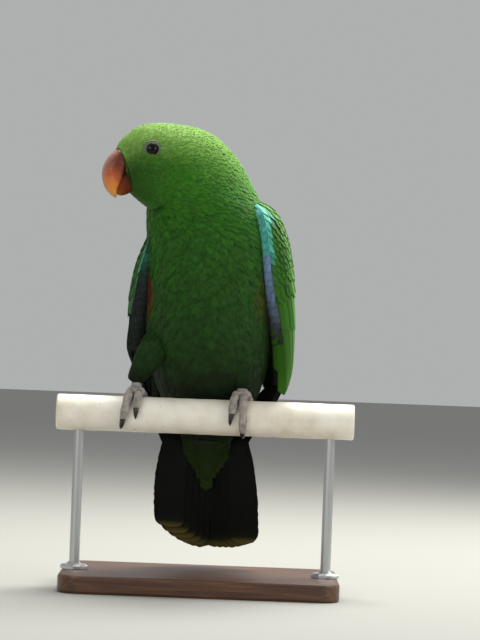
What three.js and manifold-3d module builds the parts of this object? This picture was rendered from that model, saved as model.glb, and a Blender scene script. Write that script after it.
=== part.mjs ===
// A male eclectus parrot at life size. It sits on a short cut length of perch, which a plain
// stand carries. Millimetres, +Z up. The origin is the middle of the underside of the stand's
// base. The bird's breast looks towards -Y, and its left side is towards +X.

import * as THREE from 'three';
import { mergeVertices } from 'three/addons/utils/BufferGeometryUtils.js';
import Module from 'manifold-3d';

const wasm = await Module();
wasm.setup();

// Rows of numbers as rows of named values
const table = (keys, rows) => rows.map((row) => Object.fromEntries(keys.map((key, i) => [key, row[i]])));

// Gap that neighbouring pieces keep
const GAP = 0.3;

// Stand and perch
const BASE = { width: 216, depth: 150, height: 14, corner: 16, bevel: 2 };
const PERCH = { length: 232, radius: 14, y: -10, z: 136, chamfer: 1.4 };
const ROD = { x: 98, radius: 4, flange: 11, flangeHeight: 3.4, socket: 8, bore: 10 };

// The body is one tapering form. Each row is a cross-section, from the rump to the face: its
// centre from the perch's axis, the pitch and yaw of the line that it stands square to, its
// reach to the back, the front and each side, and the fullness of its curve (2 is an ellipse)
const BODY = table(['x', 'y', 'z', 'pitch', 'yaw', 'back', 'front', 'side', 'full'], [
  [1.6, 43, -17.7, 80, 8, 11.2, 12, 22, 2], // rump
  [1.6, 38, 2.9, 79, 10, 19, 16, 33, 2.1], // vent
  [1.7, 30, 27.4, 78, 12, 30, 29, 44, 2.2], // belly
  [0.8, 19, 61.9, 79, 12, 39, 43, 50, 2.2], // flank
  [1, 10, 100.1, 82, 12, 43, 47, 51, 2.2], // keel
  [0, 5, 128.1, 84, 14, 44, 45, 51, 2.2], // breast
  [-4, 1, 149, 79, 21, 45, 41, 49, 2.1], // crop
  [-11, -3, 165.9, 69, 34, 47, 37, 44, 2.1], // collar
  [-19.8, -8, 179.2, 52, 48, 46, 32, 37, 2.1], // nape
  [-28.2, -12, 188, 32, 60, 41, 30.6, 31, 2.1], // occiput
  [-37.6, -16, 192.3, 14, 66, 35.4, 33.6, 26, 2.1], // ear
  [-46.9, -20, 194, 2, 68, 32.8, 34.6, 22, 2.2], // cheek
  [-56.2, -24.5, 194.3, -7, 68, 29.3, 32.4, 18.5, 2.2], // eye
  [-64.9, -28, 192.1, -14, 68, 23.3, 25.8, 14.5, 2.2], // lore
  [-70.3, -30.5, 190, -20, 68, 16.9, 19.8, 11.5, 2.2], // face
]);
// Where the neck starts and ends, counted in rows of the table above
const NECK_START = 6.6;
const HEAD_START = 8;
const FACE = BODY.length - 1;
// Sections along the torso, neck and head, and points round each
const TORSO_STEPS = 15;
const NECK_STEPS = 4;
const HEAD_STEPS = 17;
const BODY_AROUND = 32;

// The head's own frame: eye, lids and bill are placed forward, to its left and up from here
const HEAD = { x: -41.6, y: -18, z: 202, yaw: 68, pitch: -12 };
const EYE = { forward: 12.8, up: 5.9, out: 14.2, radius: 6.2, lidLong: 6.3, lidHigh: 5.5, lid: 1.15 };

// Upper bill: forward and up of each section's centre, the pitch of the bill's line there, and
// its reach to the ridge, to the cutting edge and to each side
const UPPER_BILL = [
  { forward: 34, up: 1.6, pitch: -8, back: 8.4, front: 9.4, side: 9.6, full: 2.3 },
  { forward: 38.4, up: -1.6, pitch: -21, back: 8.4, front: 10.2, side: 9.5, full: 2.3 },
  { forward: 42.2, up: -5.6, pitch: -36, back: 7.6, front: 10.6, side: 8.8, full: 2.3 },
  { forward: 44.6, up: -9.8, pitch: -49, back: 6.7, front: 9.6, side: 7.6, full: 2.2 },
  { forward: 45.6, up: -14.2, pitch: -64, back: 5.3, front: 8, side: 6.2, full: 2.2 },
  { forward: 45.3, up: -18.8, pitch: -80, back: 4.3, front: 5.4, side: 4.7, full: 2.1 },
  { forward: 44, up: -22.8, pitch: -98, back: 2.8, front: 3.2, side: 3, full: 2 },
  { forward: 42.4, up: -26.4, pitch: -112, back: 0.9, front: 0.8, side: 0.9, full: 2 },
];
const LOWER_BILL = [
  { forward: 30, up: -15.6, pitch: -11, back: 9, front: 7.8, side: 8.8, full: 2.3 },
  { forward: 33.2, up: -17.4, pitch: -12, back: 9, front: 7.8, side: 8.4, full: 2.3 },
  { forward: 36.4, up: -19.2, pitch: -10, back: 8, front: 6.8, side: 7.2, full: 2.2 },
  { forward: 39.4, up: -20.8, pitch: -4, back: 5.4, front: 4.8, side: 5.2, full: 2 },
  { forward: 41.4, up: -21.6, pitch: 4, back: 2, front: 1.8, side: 2.4, full: 2 },
];

// A folded wing lies on a curved surface round the flank. Each row is one level of it: the
// height along the wing, the depth of its axis, the surface's reach to the back and front of
// that axis, how thick the folded wing is at its front edge (lead) and at its back edge (rear),
// the angle of the back edge from the back's middle line, and for each wing the surface's
// reach to the side and the angle of its front edge
const WING_YAW = 12;
const WING_PITCH = 80;
// The bird leans: its left wing sits this much higher and its right wing lower, in degrees
const WING_LEAN = 8;
const WING = table([
  'z', 'y', 'back', 'front', 'lead', 'rear', 'inner', 'sideLeft', 'sideRight', 'edgeLeft', 'edgeRight',
], [
  [167, -1, 34, 22, 6, 3, 62, 30, 30, 104, 104],
  [159, 0, 43, 32, 14, 5, 44, 43, 43, 116, 116],
  [148, 2, 49, 37, 18, 6, 32, 52.4, 52.4, 123, 123],
  [128, 5, 50.4, 40, 19, 6, 23, 60, 60, 127, 126],
  [100, 10, 51, 40, 20, 6, 15, 65, 64, 127, 124],
  [75, 16, 48.5, 38, 20, 6, 10, 67.5, 66.1, 122, 114],
  [50, 22, 43.5, 35, 20, 6, 6, 68, 66.7, 116, 88],
  [25, 30, 35.5, 30, 16, 5, 4, 66.5, 65.3, 108, 72],
  [3, 38, 25, 24, 10, 5, 3, 59, 58.4, 88, 62],
  [-18, 44, 18.5, 16, 8, 5, 4, 46, 46, 56, 52],
  [-38, 48, 15, 12, 7, 5, 6, 37, 37, 40, 40],
  [-62, 53, 12.5, 9, 6, 4, 9, 30, 30, 27, 27],
]);

// Tail: a fan of flight feathers in one sloping plane
const TAIL = { x: 1.4, y: 44, z: -17, slope: 13.5, yaw: 8, pairs: 6, width: 25, layer: 0.85, dome: 4.5 };
const TAIL_TIP = { left: [92, 91.5, 91, 90.5, 89, 87], right: [92.5, 91, 88.5, 85, 80.5, 75] };

// Legs: foot, ankle, knee and hip on each side, and the toes as angles round the perch from
// its top
const LEG = {
  l: {
    foot: 28, ankle: { x: 28.6, y: 3, z: 28 }, knee: { x: 30, y: -2, z: 50 }, hip: { x: 24, y: 12, z: 74 },
  },
  r: {
    foot: -55, ankle: { x: -54.2, y: 4, z: 30 }, knee: { x: -41, y: 1, z: 54 }, hip: { x: -28, y: 18, z: 80 },
  },
};
const TOE = { radius: 3.5, clear: 0.35 };
// name, sideways place at the foot and at the claw, end angle, claw's end angle
const TOES = {
  l: [
    { name: '1', from: -3.4, to: -8, end: -68, claw: -98 },
    { name: '2', from: -4.4, to: -7.6, end: 78, claw: 112 },
    { name: '3', from: 1.2, to: 1.4, end: 126, claw: 164 },
    { name: '4', from: 3.4, to: 8.5, end: -92, claw: -128 },
  ],
  r: [
    { name: '1', from: 3.4, to: 8, end: -68, claw: -98 },
    { name: '2', from: 2.8, to: 1.4, end: 72, claw: 103 },
    { name: '3', from: -3.4, to: -8.6, end: 100, claw: 140 },
    { name: '4', from: -3.6, to: -9.5, end: -92, claw: -128 },
  ],
};

const rad = THREE.MathUtils.degToRad;
const lerp = THREE.MathUtils.lerp;
const vec = (x, y, z) => new THREE.Vector3(x, y, z);

// Repeatable random numbers, so that every build gives the same feathers
function seeded(seed) {
  let state = seed;
  return () => {
    state = (state * 16807) % 2147483647;
    return state / 2147483647 - 0.5;
  };
}

// Smooth curve through equally spaced values
function smooth(values, t) {
  const last = values.length - 1;
  const place = THREE.MathUtils.clamp(t, 0, last);
  const i = Math.min(Math.floor(place), last - 1);
  const f = place - i;
  const b = values[i];
  const c = values[i + 1];
  const a = i > 0 ? values[i - 1] : 2 * b - c;
  const d = i < last - 1 ? values[i + 2] : 2 * c - b;
  const bend = 2 * a - 5 * b + 4 * c - d;
  const twist = 3 * b - a - 3 * c + d;
  return 0.5 * (2 * b + (c - a) * f + bend * f * f + twist * f * f * f);
}

// One row's value, smoothed between the rows of a table
const rowValue = (rows, key, t) => smooth(rows.map((row) => row[key]), t);

// Sine or cosine flattened towards a fuller curve than an ellipse
const fuller = (value, full) => Math.sign(value) * Math.abs(value) ** (2 / full);

// Directions of a cross-section: the way it looks, the bird's left and its back
function axes(pitch, yaw) {
  const level = vec(-Math.sin(rad(yaw)), -Math.cos(rad(yaw)), 0);
  const left = vec(Math.cos(rad(yaw)), -Math.sin(rad(yaw)), 0);
  const back = level.clone().multiplyScalar(-Math.sin(rad(pitch))).setZ(Math.cos(rad(pitch)));
  const ahead = level.clone().multiplyScalar(Math.cos(rad(pitch))).setZ(Math.sin(rad(pitch)));
  return { ahead, left, back };
}

// Point on the body's surface: t is the place along it, angle goes round from the back's
// middle line over the bird's left side
function bodyPoint(t, angle, grow = 0) {
  const value = (key) => rowValue(BODY, key, t);
  const { left, back } = axes(value('pitch'), value('yaw'));
  const full = value('full');
  const round = fuller(Math.cos(rad(angle)), full);
  const across = fuller(Math.sin(rad(angle)), full);
  const reach = (round > 0 ? value('back') : value('front')) + grow;
  return vec(value('x'), value('y') + PERCH.y, value('z') + PERCH.z)
    .addScaledVector(back, reach * round)
    .addScaledVector(left, (value('side') + grow) * across);
}

// Direction of the body's line at one place
const bodyAhead = (t) => axes(rowValue(BODY, 'pitch', t), rowValue(BODY, 'yaw', t)).ahead;

// Point in the head's frame
function headPoint(forward, left, up) {
  const frame = axes(HEAD.pitch, HEAD.yaw);
  return vec(HEAD.x, HEAD.y + PERCH.y, HEAD.z + PERCH.z)
    .addScaledVector(frame.ahead, forward)
    .addScaledVector(frame.left, left)
    .addScaledVector(frame.back, up);
}

// Geometry from points and faces, turned so that its faces point out
function geometryOf(points, faces) {
  let volume = 0;
  for (const [a, b, c] of faces) {
    volume += points[a].dot(points[b].clone().cross(points[c]));
  }
  const turned = volume < 0 ? faces.map(([a, b, c]) => [a, c, b]) : faces;
  const geometry = new THREE.BufferGeometry();
  const places = points.flatMap((p) => [p.x, p.y, p.z]);
  geometry.setAttribute('position', new THREE.Float32BufferAttribute(places, 3));
  geometry.setIndex(turned.flat());
  return geometry;
}

// Closed skin over a row of rings with equal numbers of points, flat at both ends
function skin(rings) {
  const around = rings[0].length;
  const points = rings.flat();
  const faces = [];
  for (let i = 0; i < rings.length - 1; i += 1) {
    for (let j = 0; j < around; j += 1) {
      const k = (j + 1) % around;
      const a = i * around;
      const b = a + around;
      faces.push([a + j, b + k, b + j], [a + j, a + k, b + k]);
    }
  }
  for (const end of [0, rings.length - 1]) {
    const middle = points.length;
    points.push(rings[end].reduce((sum, p) => sum.add(p), vec(0, 0, 0)).divideScalar(around));
    for (let j = 0; j < around; j += 1) {
      const a = end * around + j;
      const b = end * around + ((j + 1) % around);
      faces.push(end === 0 ? [middle, b, a] : [middle, a, b]);
    }
  }
  return geometryOf(points, faces);
}

// Solid for joining and cutting
function solid(geometry) {
  const bare = geometry.clone();
  for (const name of Object.keys(bare.attributes)) {
    if (name !== 'position') {
      bare.deleteAttribute(name);
    }
  }
  const merged = mergeVertices(bare, 1e-4);
  return new wasm.Manifold(new wasm.Mesh({
    numProp: 3,
    vertProperties: new Float32Array(merged.attributes.position.array),
    triVerts: new Uint32Array(merged.index.array),
  }));
}

const joined = (solids) => solids.reduce((sum, next) => sum.add(next));

// Largest closed surface of a solid, as a geometry
function largest(result) {
  const pieces = result.decompose();
  const sizes = pieces.map((piece) => Math.abs(piece.volume()));
  const mesh = pieces[sizes.indexOf(Math.max(...sizes))].getMesh();
  const geometry = new THREE.BufferGeometry();
  geometry.setAttribute('position', new THREE.BufferAttribute(new Float32Array(mesh.vertProperties), 3));
  geometry.setIndex(new THREE.BufferAttribute(new Uint32Array(mesh.triVerts), 1));
  return geometry;
}

// Rings of the body between two places on it
function bodyRings(start, end, count, grow = 0) {
  const rings = [];
  for (let i = 0; i <= count; i += 1) {
    const t = lerp(start, end, i / count);
    rings.push(Array.from({ length: BODY_AROUND }, (_, j) => bodyPoint(t, (360 * j) / BODY_AROUND, grow)));
  }
  return rings;
}

// Same length of body, its first ring moved on by the gap to the piece before
function bodyLength(start, end, count) {
  const rings = bodyRings(start, end, count);
  rings[0].forEach((p) => p.addScaledVector(bodyAhead(start), GAP));
  return skin(rings);
}

// Body a little larger than it is, which wings, thighs and tail are cut clear of
function bodyClear() {
  const grow = GAP + 0.2;
  const torso = bodyRings(0, NECK_START, TORSO_STEPS, grow);
  const neck = bodyRings(NECK_START, HEAD_START, NECK_STEPS, grow).slice(1);
  const nape = bodyRings(HEAD_START, HEAD_START + 2, 4, grow).slice(1);
  torso[0].forEach((p) => p.addScaledVector(bodyAhead(0), -GAP));
  return solid(skin([...torso, ...neck, ...nape]));
}

const BODY_CLEAR = bodyClear();

// Rings of a tapering piece in the head's frame
function headRings(rows, count, around) {
  const rings = [];
  for (let i = 0; i <= count; i += 1) {
    const t = ((rows.length - 1) * i) / count;
    const pitch = rad(rowValue(rows, 'pitch', t));
    const full = rowValue(rows, 'full', t);
    rings.push(Array.from({ length: around }, (_, j) => {
      const angle = (2 * Math.PI * j) / around;
      const round = fuller(Math.cos(angle), full);
      const reach = rowValue(rows, round > 0 ? 'back' : 'front', t) * round;
      const across = rowValue(rows, 'side', t) * fuller(Math.sin(angle), full);
      const forward = rowValue(rows, 'forward', t) - Math.sin(pitch) * reach;
      const up = rowValue(rows, 'up', t) + Math.cos(pitch) * reach;
      return { forward, across, up };
    }));
  }
  return rings;
}

// The bill's sections are given level, and the head looks down by its pitch
function billPoint({ forward, across, up }) {
  const tilt = rad(-HEAD.pitch);
  const lying = forward * Math.cos(tilt) + up * Math.sin(tilt);
  const risen = -forward * Math.sin(tilt) + up * Math.cos(tilt);
  const level = axes(0, HEAD.yaw);
  return vec(HEAD.x, HEAD.y + PERCH.y, HEAD.z + PERCH.z)
    .addScaledVector(level.ahead, lying)
    .addScaledVector(level.left, across)
    .add(vec(0, 0, risen));
}

function billSkin(rows, count, around) {
  return skin(headRings(rows, count, around).map((ring) => ring.map(billPoint)));
}

// Eyeball; a side of 1 is the bird's left
function eyeAt(side, radius) {
  const ball = new THREE.SphereGeometry(radius, 14, 9);
  ball.rotateX(Math.PI / 2);
  ball.applyMatrix4(new THREE.Matrix4().setPosition(headPoint(EYE.forward, side * EYE.out, EYE.up)));
  return ball;
}

// Ring of lid round the eye
function lids(side) {
  const middle = headPoint(EYE.forward, side * (EYE.out + 3.2), EYE.up);
  const frame = axes(HEAD.pitch, HEAD.yaw);
  const out = frame.left.clone().multiplyScalar(side);
  const rings = [];
  const around = 6;
  const steps = 16;
  const points = [];
  const faces = [];
  for (let i = 0; i < steps; i += 1) {
    const turn = (2 * Math.PI * i) / steps;
    const radial = frame.ahead.clone().multiplyScalar(Math.cos(turn))
      .addScaledVector(frame.back, Math.sin(turn));
    const centre = middle.clone()
      .addScaledVector(frame.ahead, EYE.lidLong * Math.cos(turn))
      .addScaledVector(frame.back, EYE.lidHigh * Math.sin(turn))
      .addScaledVector(out, -0.12 * EYE.lidLong * Math.cos(turn));
    rings.push(centre);
    for (let j = 0; j < around; j += 1) {
      const roll = (2 * Math.PI * j) / around;
      points.push(centre.clone()
        .addScaledVector(radial, EYE.lid * Math.cos(roll))
        .addScaledVector(out, EYE.lid * Math.sin(roll)));
      const next = ((i + 1) % steps) * around;
      const k = (j + 1) % around;
      faces.push([i * around + j, next + k, next + j], [i * around + j, i * around + k, next + k]);
    }
  }
  return geometryOf(points, faces);
}

function makeHead() {
  let head = solid(bodyLength(HEAD_START, FACE, HEAD_STEPS));
  for (const side of [1, -1]) {
    head = head.add(solid(lids(side))).subtract(solid(eyeAt(side, EYE.radius + GAP)));
  }
  return largest(head);
}

function makeBill() {
  const upper = solid(billSkin(UPPER_BILL, 11, 16));
  const lower = solid(billSkin(LOWER_BILL, 6, 14));
  const larger = UPPER_BILL.map((row) => ({ ...row, front: row.front + GAP + 0.1, side: row.side + GAP }));
  const upperClear = solid(billSkin(larger, 11, 16));
  const face = bodyRings(FACE - 1, FACE, 2, 2);
  face.at(-1).forEach((p) => p.addScaledVector(bodyAhead(FACE), GAP));
  const faceClear = solid(skin(face));
  return {
    upper: largest(upper.subtract(faceClear)),
    lower: largest(lower.subtract(upperClear).subtract(faceClear)),
  };
}

// Place in a table of levels, from a height along the wing
function levelOf(z) {
  const last = WING.length - 1;
  if (z >= WING[0].z) {
    return 0;
  }
  for (let i = 0; i < last; i += 1) {
    if (z >= WING[i + 1].z) {
      return i + (WING[i].z - z) / (WING[i].z - WING[i + 1].z);
    }
  }
  return last;
}

// Surface that one folded wing lies on: z is the height along the wing, across goes from its
// front edge (0) to its back edge (1), and height is measured out from the surface
function wingSurface(side) {
  const { left, back } = axes(WING_PITCH, WING_YAW);
  const out = side === 'l' ? 1 : -1;
  const name = side === 'l' ? 'Left' : 'Right';
  const point = (z, across, height) => {
    const t = levelOf(z);
    const value = (key) => rowValue(WING, key, t);
    const reachOut = value(`side${name}`);
    const edge = value(`edge${name}`);
    const angle = rad(lerp(edge, value('inner'), across));
    const round = fuller(Math.cos(angle), 2.15);
    const sideways = fuller(Math.sin(angle), 2.15);
    const reach = round > 0 ? value('back') : value('front');
    const lateral = reachOut * sideways;
    const steep = vec(sideways / reachOut, round / reach, 0).normalize();
    const wide = out * (lateral + height * steep.x);
    return vec(1, value('y') + PERCH.y, z + PERCH.z + Math.tan(rad(WING_LEAN)) * wide)
      .addScaledVector(left, wide)
      .addScaledVector(back, reach * round + height * steep.y);
  };
  const span = (z) => {
    const steps = 8;
    let length = 0;
    for (let i = 0; i < steps; i += 1) {
      length += point(z, i / steps, 0).distanceTo(point(z, (i + 1) / steps, 0));
    }
    return length;
  };
  return { point, span };
}

// Outline of a feather: place along it and share of its full width there
const COVERT = [[0, 0.6], [0.55, 1], [0.86, 0.76], [1, 0.24]];
const QUILL = [[0, 0.6], [0.4, 0.96], [0.85, 0.86], [1, 0.24]];
const RECTRIX = [[0, 0.5], [0.14, 0.94], [0.5, 1], [0.9, 0.86], [1, 0.36]];

// One feather as a closed blade. root and tip are [along, across] on the surface, lift is its
// height there, roll raises one edge so that it lies over its neighbour, and bow curves it. A
// feather with a depth stands on straight sides in what is under it, and one without is a thin
// blade.
function feather(surface, root, tip, { width, lift, roll = 0.7, thick = 1, deep = 0, bow = 0, outline = COVERT }) {
  const middle = lerp(root[0], tip[0], 0.5);
  const slope = ((tip[1] - root[1]) * surface.span(middle)) / (tip[0] - root[0]);
  const long = Math.hypot(1, slope);
  const rings = outline.map(([t, share]) => {
    const along = lerp(root[0], tip[0], t);
    const perMm = 1 / surface.span(along);
    const across = lerp(root[1], tip[1], t) + bow * Math.sin(Math.PI * t) * perMm;
    const half = (width / 2) * share;
    const body = thick * lerp(1, 0.6, t);
    const height = lerp(lift[0], lift[1], t);
    const at = (q, above) => surface.point(
      along - (slope / long) * half * q,
      across + (half * q * perMm) / long,
      height - roll * q + above,
    );
    const ridge = [at(-1, 0), at(0, body * 0.5 + 0.2), at(1, 0)];
    return deep ? [...ridge, at(1, -deep), at(-1, -deep)] : [...ridge, at(0, -body * 0.5)];
  });
  const around = rings[0].length;
  const faces = [];
  for (let i = 0; i < rings.length - 1; i += 1) {
    const a = i * around;
    const b = a + around;
    for (let j = 0; j < around; j += 1) {
      const k = (j + 1) % around;
      faces.push([a + j, a + k, b + k], [a + j, b + k, b + j]);
    }
  }
  const last = (rings.length - 1) * around;
  for (let j = 2; j < around; j += 1) {
    const k = (j + 1) % around;
    faces.push([1, k, j], [last + 1, last + j, last + k]);
  }
  return solid(geometryOf(rings.flat(), faces));
}

// Row of feathers side by side across a surface; tip is where its first and last feathers end
function tier(surface, { count, root, tip, across, width, lift, deep, outline, random }) {
  return Array.from({ length: count }, (_, i) => {
    const f = count > 1 ? i / (count - 1) : 0.5;
    const place = lerp(across[0], across[1], f);
    const end = lerp(tip[0], tip[1], f) + random() * 3;
    return feather(surface, [root, place], [end, place + random() * 0.02], {
      width: width * (1 + random() * 0.08), lift, deep, outline,
    });
  });
}

// Flesh and folded quills under the wing's feathers
function wingCore(surface) {
  const levels = [166, 157, 146, 126, 100, 74, 50, 28, 10, -6];
  const steps = 7;
  const rings = levels.map((z) => {
    const t = levelOf(z);
    const lead = rowValue(WING, 'lead', t);
    const rear = rowValue(WING, 'rear', t);
    const outer = Array.from({ length: steps + 1 }, (_, i) => surface.point(z, i / steps, -1.4));
    const inner = Array.from({ length: steps - 1 }, (_, i) => {
      const f = 1 - i / (steps - 2);
      return surface.point(z, f, -lerp(lead, rear, f));
    });
    return [...outer, ...inner];
  });
  return solid(skin(rings));
}

// Quills of the hand, stacked from the inmost one on top to the outmost one beneath
function primaries(surface, random) {
  const tips = [-6, -22, -37, -48, -56, -52];
  return tips.map((tip, i) => {
    const f = i / (tips.length - 1);
    return feather(surface, [78, lerp(0.4, 0.05, f)], [tip + random() * 2, lerp(0.55, 0.32, f)], {
      width: 17, lift: [-2.4 - 0.9 * i, -0.1 - 1.3 * i], roll: 0, thick: 0.9, outline: QUILL,
    });
  });
}

function makeWing(side, seed) {
  const surface = wingSurface(side);
  const random = seeded(seed);
  const rows = [
    { count: 4, root: 163, tip: [136, 136], across: [0.1, 0.84], width: 18, lift: [-2.6, 0.6] },
    { count: 5, root: 142, tip: [114, 114], across: [0.06, 0.86], width: 22, lift: [-2.6, 0.6] },
    { count: 5, root: 121, tip: [92, 92], across: [0.06, 0.88], width: 26, lift: [-2.6, 0.6] },
    { count: 6, root: 99, tip: [64, 58], across: [0.06, 0.9], width: 25, lift: [-2.6, 0.6] },
    { count: 5, root: 74, tip: [12, 28], across: [0.2, 0.9], width: 26, lift: [-2.8, 0.8], outline: QUILL },
  ];
  const feathers = rows.flatMap((row) => tier(surface, { ...row, deep: 2.4, random }));
  const wing = joined([wingCore(surface), ...feathers, ...primaries(surface, random)]);
  return largest(wing.simplify(0.1).subtract(BODY_CLEAR).simplify(0.06));
}

// Plane that the tail's feathers lie on: along goes down the tail, across to the bird's left
function tailSurface() {
  const yaw = rad(TAIL.yaw);
  const slope = rad(TAIL.slope);
  const left = vec(Math.cos(yaw), -Math.sin(yaw), 0);
  const down = vec(Math.sin(yaw) * Math.sin(slope), Math.cos(yaw) * Math.sin(slope), -Math.cos(slope));
  const back = vec(Math.sin(yaw) * Math.cos(slope), Math.cos(yaw) * Math.cos(slope), Math.sin(slope));
  const point = (along, across, height) => vec(TAIL.x, TAIL.y + PERCH.y, TAIL.z + PERCH.z)
    .addScaledVector(down, along)
    .addScaledVector(left, across)
    .addScaledVector(back, height - TAIL.dome * (across / 43) ** 2);
  return { point, span: () => 1 };
}

function makeTail() {
  const surface = tailSurface();
  const random = seeded(77);
  const around = 20;
  // Root of the tail, which carries on the rump's section and narrows to a wedge
  const sections = [[GAP, 22, 11.2, 12], [8, 21.5, 8.5, 8.5], [18, 20.5, 5.2, 5.6], [30, 18, 2.6, 3]];
  const root = sections.map(([along, side, back, front]) => Array.from({ length: around }, (_, j) => {
    const angle = (2 * Math.PI * j) / around;
    const round = Math.cos(angle);
    return surface.point(along, side * Math.sin(angle), round * (round > 0 ? back : front) - 1);
  }));
  const pieces = [solid(skin(root))];
  for (let i = 0; i < TAIL.pairs; i += 1) {
    for (const side of [1, -1]) {
      const tips = side > 0 ? TAIL_TIP.left : TAIL_TIP.right;
      // Left and right take turns, so that no two feathers that overlap are at one height
      const level = TAIL.layer * (i < 2 ? 2 * i + (side > 0 ? 0 : 1) : i + (side > 0 ? 1 : 2));
      const lift = [2 - level, 2 - level];
      pieces.push(feather(surface, [1, side * (2 + 4.3 * i)], [tips[i], side * (6 + 4.9 * i)], {
        width: TAIL.width, lift, roll: 0, thick: 0.55, bow: side * 0.5 * i, outline: RECTRIX,
      }));
    }
  }
  const coverts = (count, reach, half, lift) => Array.from({ length: count }, (_, i) => {
    const f = (2 * i) / (count - 1) - 1;
    return feather(surface, [3, f * half * 0.7], [reach - 12 * f * f + random() * 3, f * half], {
      width: 13, lift, roll: 0.6 * Math.sign(lift[1]) * (f > 0 ? -1 : 1), thick: 0.9,
    });
  });
  pieces.push(...coverts(5, 33, 15, [5, 4.4]), ...coverts(5, 33, 16, [-7, -7.6]));
  return largest(joined(pieces).subtract(BODY_CLEAR));
}

// Round section tube through points, with a radius at each
function tube(points, radii, sides, steps) {
  const curve = new THREE.CatmullRomCurve3(points);
  const frames = curve.computeFrenetFrames(steps, false);
  return skin(Array.from({ length: steps + 1 }, (_, i) => {
    const t = i / steps;
    const centre = curve.getPointAt(t);
    const radius = smooth(radii, t * (radii.length - 1));
    return Array.from({ length: sides }, (_, j) => {
      const angle = (2 * Math.PI * j) / sides;
      return centre.clone()
        .addScaledVector(frames.normals[i], radius * Math.cos(angle))
        .addScaledVector(frames.binormals[i], radius * Math.sin(angle));
    });
  }));
}

// Point at an angle round the perch, from its top towards the front
function roundPerch(x, angle, radius) {
  return vec(x, PERCH.y - radius * Math.sin(rad(angle)), PERCH.z + radius * Math.cos(rad(angle)));
}

// Tube wrapped round the perch, with planar ends square to its path
function wrapped(foot, toe, from, to, sections, sides) {
  return skin(sections.map(([share, radius, orbit]) => {
    const angle = lerp(from, to, share);
    const x = foot + lerp(toe.from, toe.to, THREE.MathUtils.clamp(angle / toe.end, 0, 1.3));
    return Array.from({ length: sides }, (_, j) => {
      const turn = (2 * Math.PI * j) / sides;
      return roundPerch(x + radius * Math.cos(turn), angle, orbit + radius * Math.sin(turn));
    });
  }));
}

// Toe pads swell and narrow at each joint
function makeToe(foot, toe) {
  const orbit = PERCH.radius + TOE.clear + TOE.radius;
  const shares = [0, 0.16, 0.32, 0.48, 0.64, 0.8, 0.92, 1];
  const swell = [1.06, 1, 0.9, 1.02, 0.86, 0.98, 0.84, 0.76];
  const sections = shares.map((share, i) => {
    const radius = TOE.radius * swell[i];
    return [share, radius, orbit - TOE.radius + radius];
  });
  return wrapped(foot, toe, -0.12 * toe.end, toe.end, sections, 8);
}

function makeClaw(foot, toe) {
  const gap = (THREE.MathUtils.radToDeg(GAP / PERCH.radius)) * Math.sign(toe.end);
  const touch = PERCH.radius + TOE.clear;
  const sections = [
    [0, 2.3, touch + 2.6], [0.3, 2, touch + 3], [0.65, 1.3, touch + 2.4], [1, 0.35, touch + 0.6],
  ];
  return wrapped(foot, toe, toe.end + gap, toe.claw, sections, 8);
}

const PERCH_CLEAR = solid(perchShape(PERCH.radius + GAP));

function perchShape(radius) {
  const half = PERCH.length / 2;
  const profile = [[0, -half], [radius - PERCH.chamfer, -half], [radius, PERCH.chamfer - half],
    [radius, half - PERCH.chamfer], [radius - PERCH.chamfer, half], [0, half]];
  const pole = new THREE.LatheGeometry(profile.map(([r, y]) => new THREE.Vector2(r, y)), 32);
  pole.rotateZ(Math.PI / 2);
  pole.translate(0, PERCH.y, PERCH.z);
  return pole;
}

// Bare shank from the ankle down to the foot, and the pad that the toes grow from
function shankAndPad(side, grow = 0) {
  const { foot, ankle } = LEG[side];
  const sole = vec(foot, PERCH.y, PERCH.z + PERCH.radius + 4);
  const top = vec(ankle.x, ankle.y + PERCH.y, ankle.z + PERCH.z);
  const middle = sole.clone().lerp(top, 0.5).add(vec(0, 0.6, 0));
  const shank = tube([top.add(vec(0, 0, grow)), middle, sole], [4.4 + grow, 4.1 + grow, 5 + grow], 10, 4);
  const pad = new THREE.SphereGeometry(1, 12, 8);
  pad.scale(7.4 + grow, 6 + grow, 4.6 + grow);
  pad.translate(sole.x, sole.y, sole.z);
  return solid(shank).add(solid(pad));
}

function makeFoot(side) {
  const toes = TOES[side].map((toe) => solid(makeToe(LEG[side].foot, toe)));
  return largest(joined([shankAndPad(side), ...toes]).subtract(PERCH_CLEAR));
}

// Foot and claws a little larger than they are
function footClear(side) {
  const orbit = PERCH.radius + TOE.clear + TOE.radius;
  const toes = TOES[side].map((toe) => {
    const steps = 9;
    const sections = Array.from({ length: steps + 1 }, (_, i) => [i / steps, TOE.radius + 0.9, orbit]);
    return solid(wrapped(LEG[side].foot, toe, -0.2 * toe.end, toe.claw + Math.sign(toe.end) * 3, sections, 8));
  });
  return joined([shankAndPad(side, 0.45), ...toes]);
}

// Feathered thigh, from inside the flank down to the ankle
function makeThigh(side) {
  const { ankle, knee, hip } = LEG[side];
  const at = ({ x, y, z }) => vec(x, y + PERCH.y, z + PERCH.z);
  const low = at(ankle).add(vec(0, 0, GAP));
  return solid(tube([low, at(knee), at(hip)], [6.6, 12, 14, 14], 16, 8));
}

// The belly's feathers part round the feet
function makeTorso() {
  const torso = solid(skin(bodyRings(0, NECK_START, TORSO_STEPS)));
  return largest(torso.subtract(footClear('l')).subtract(footClear('r')));
}

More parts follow.
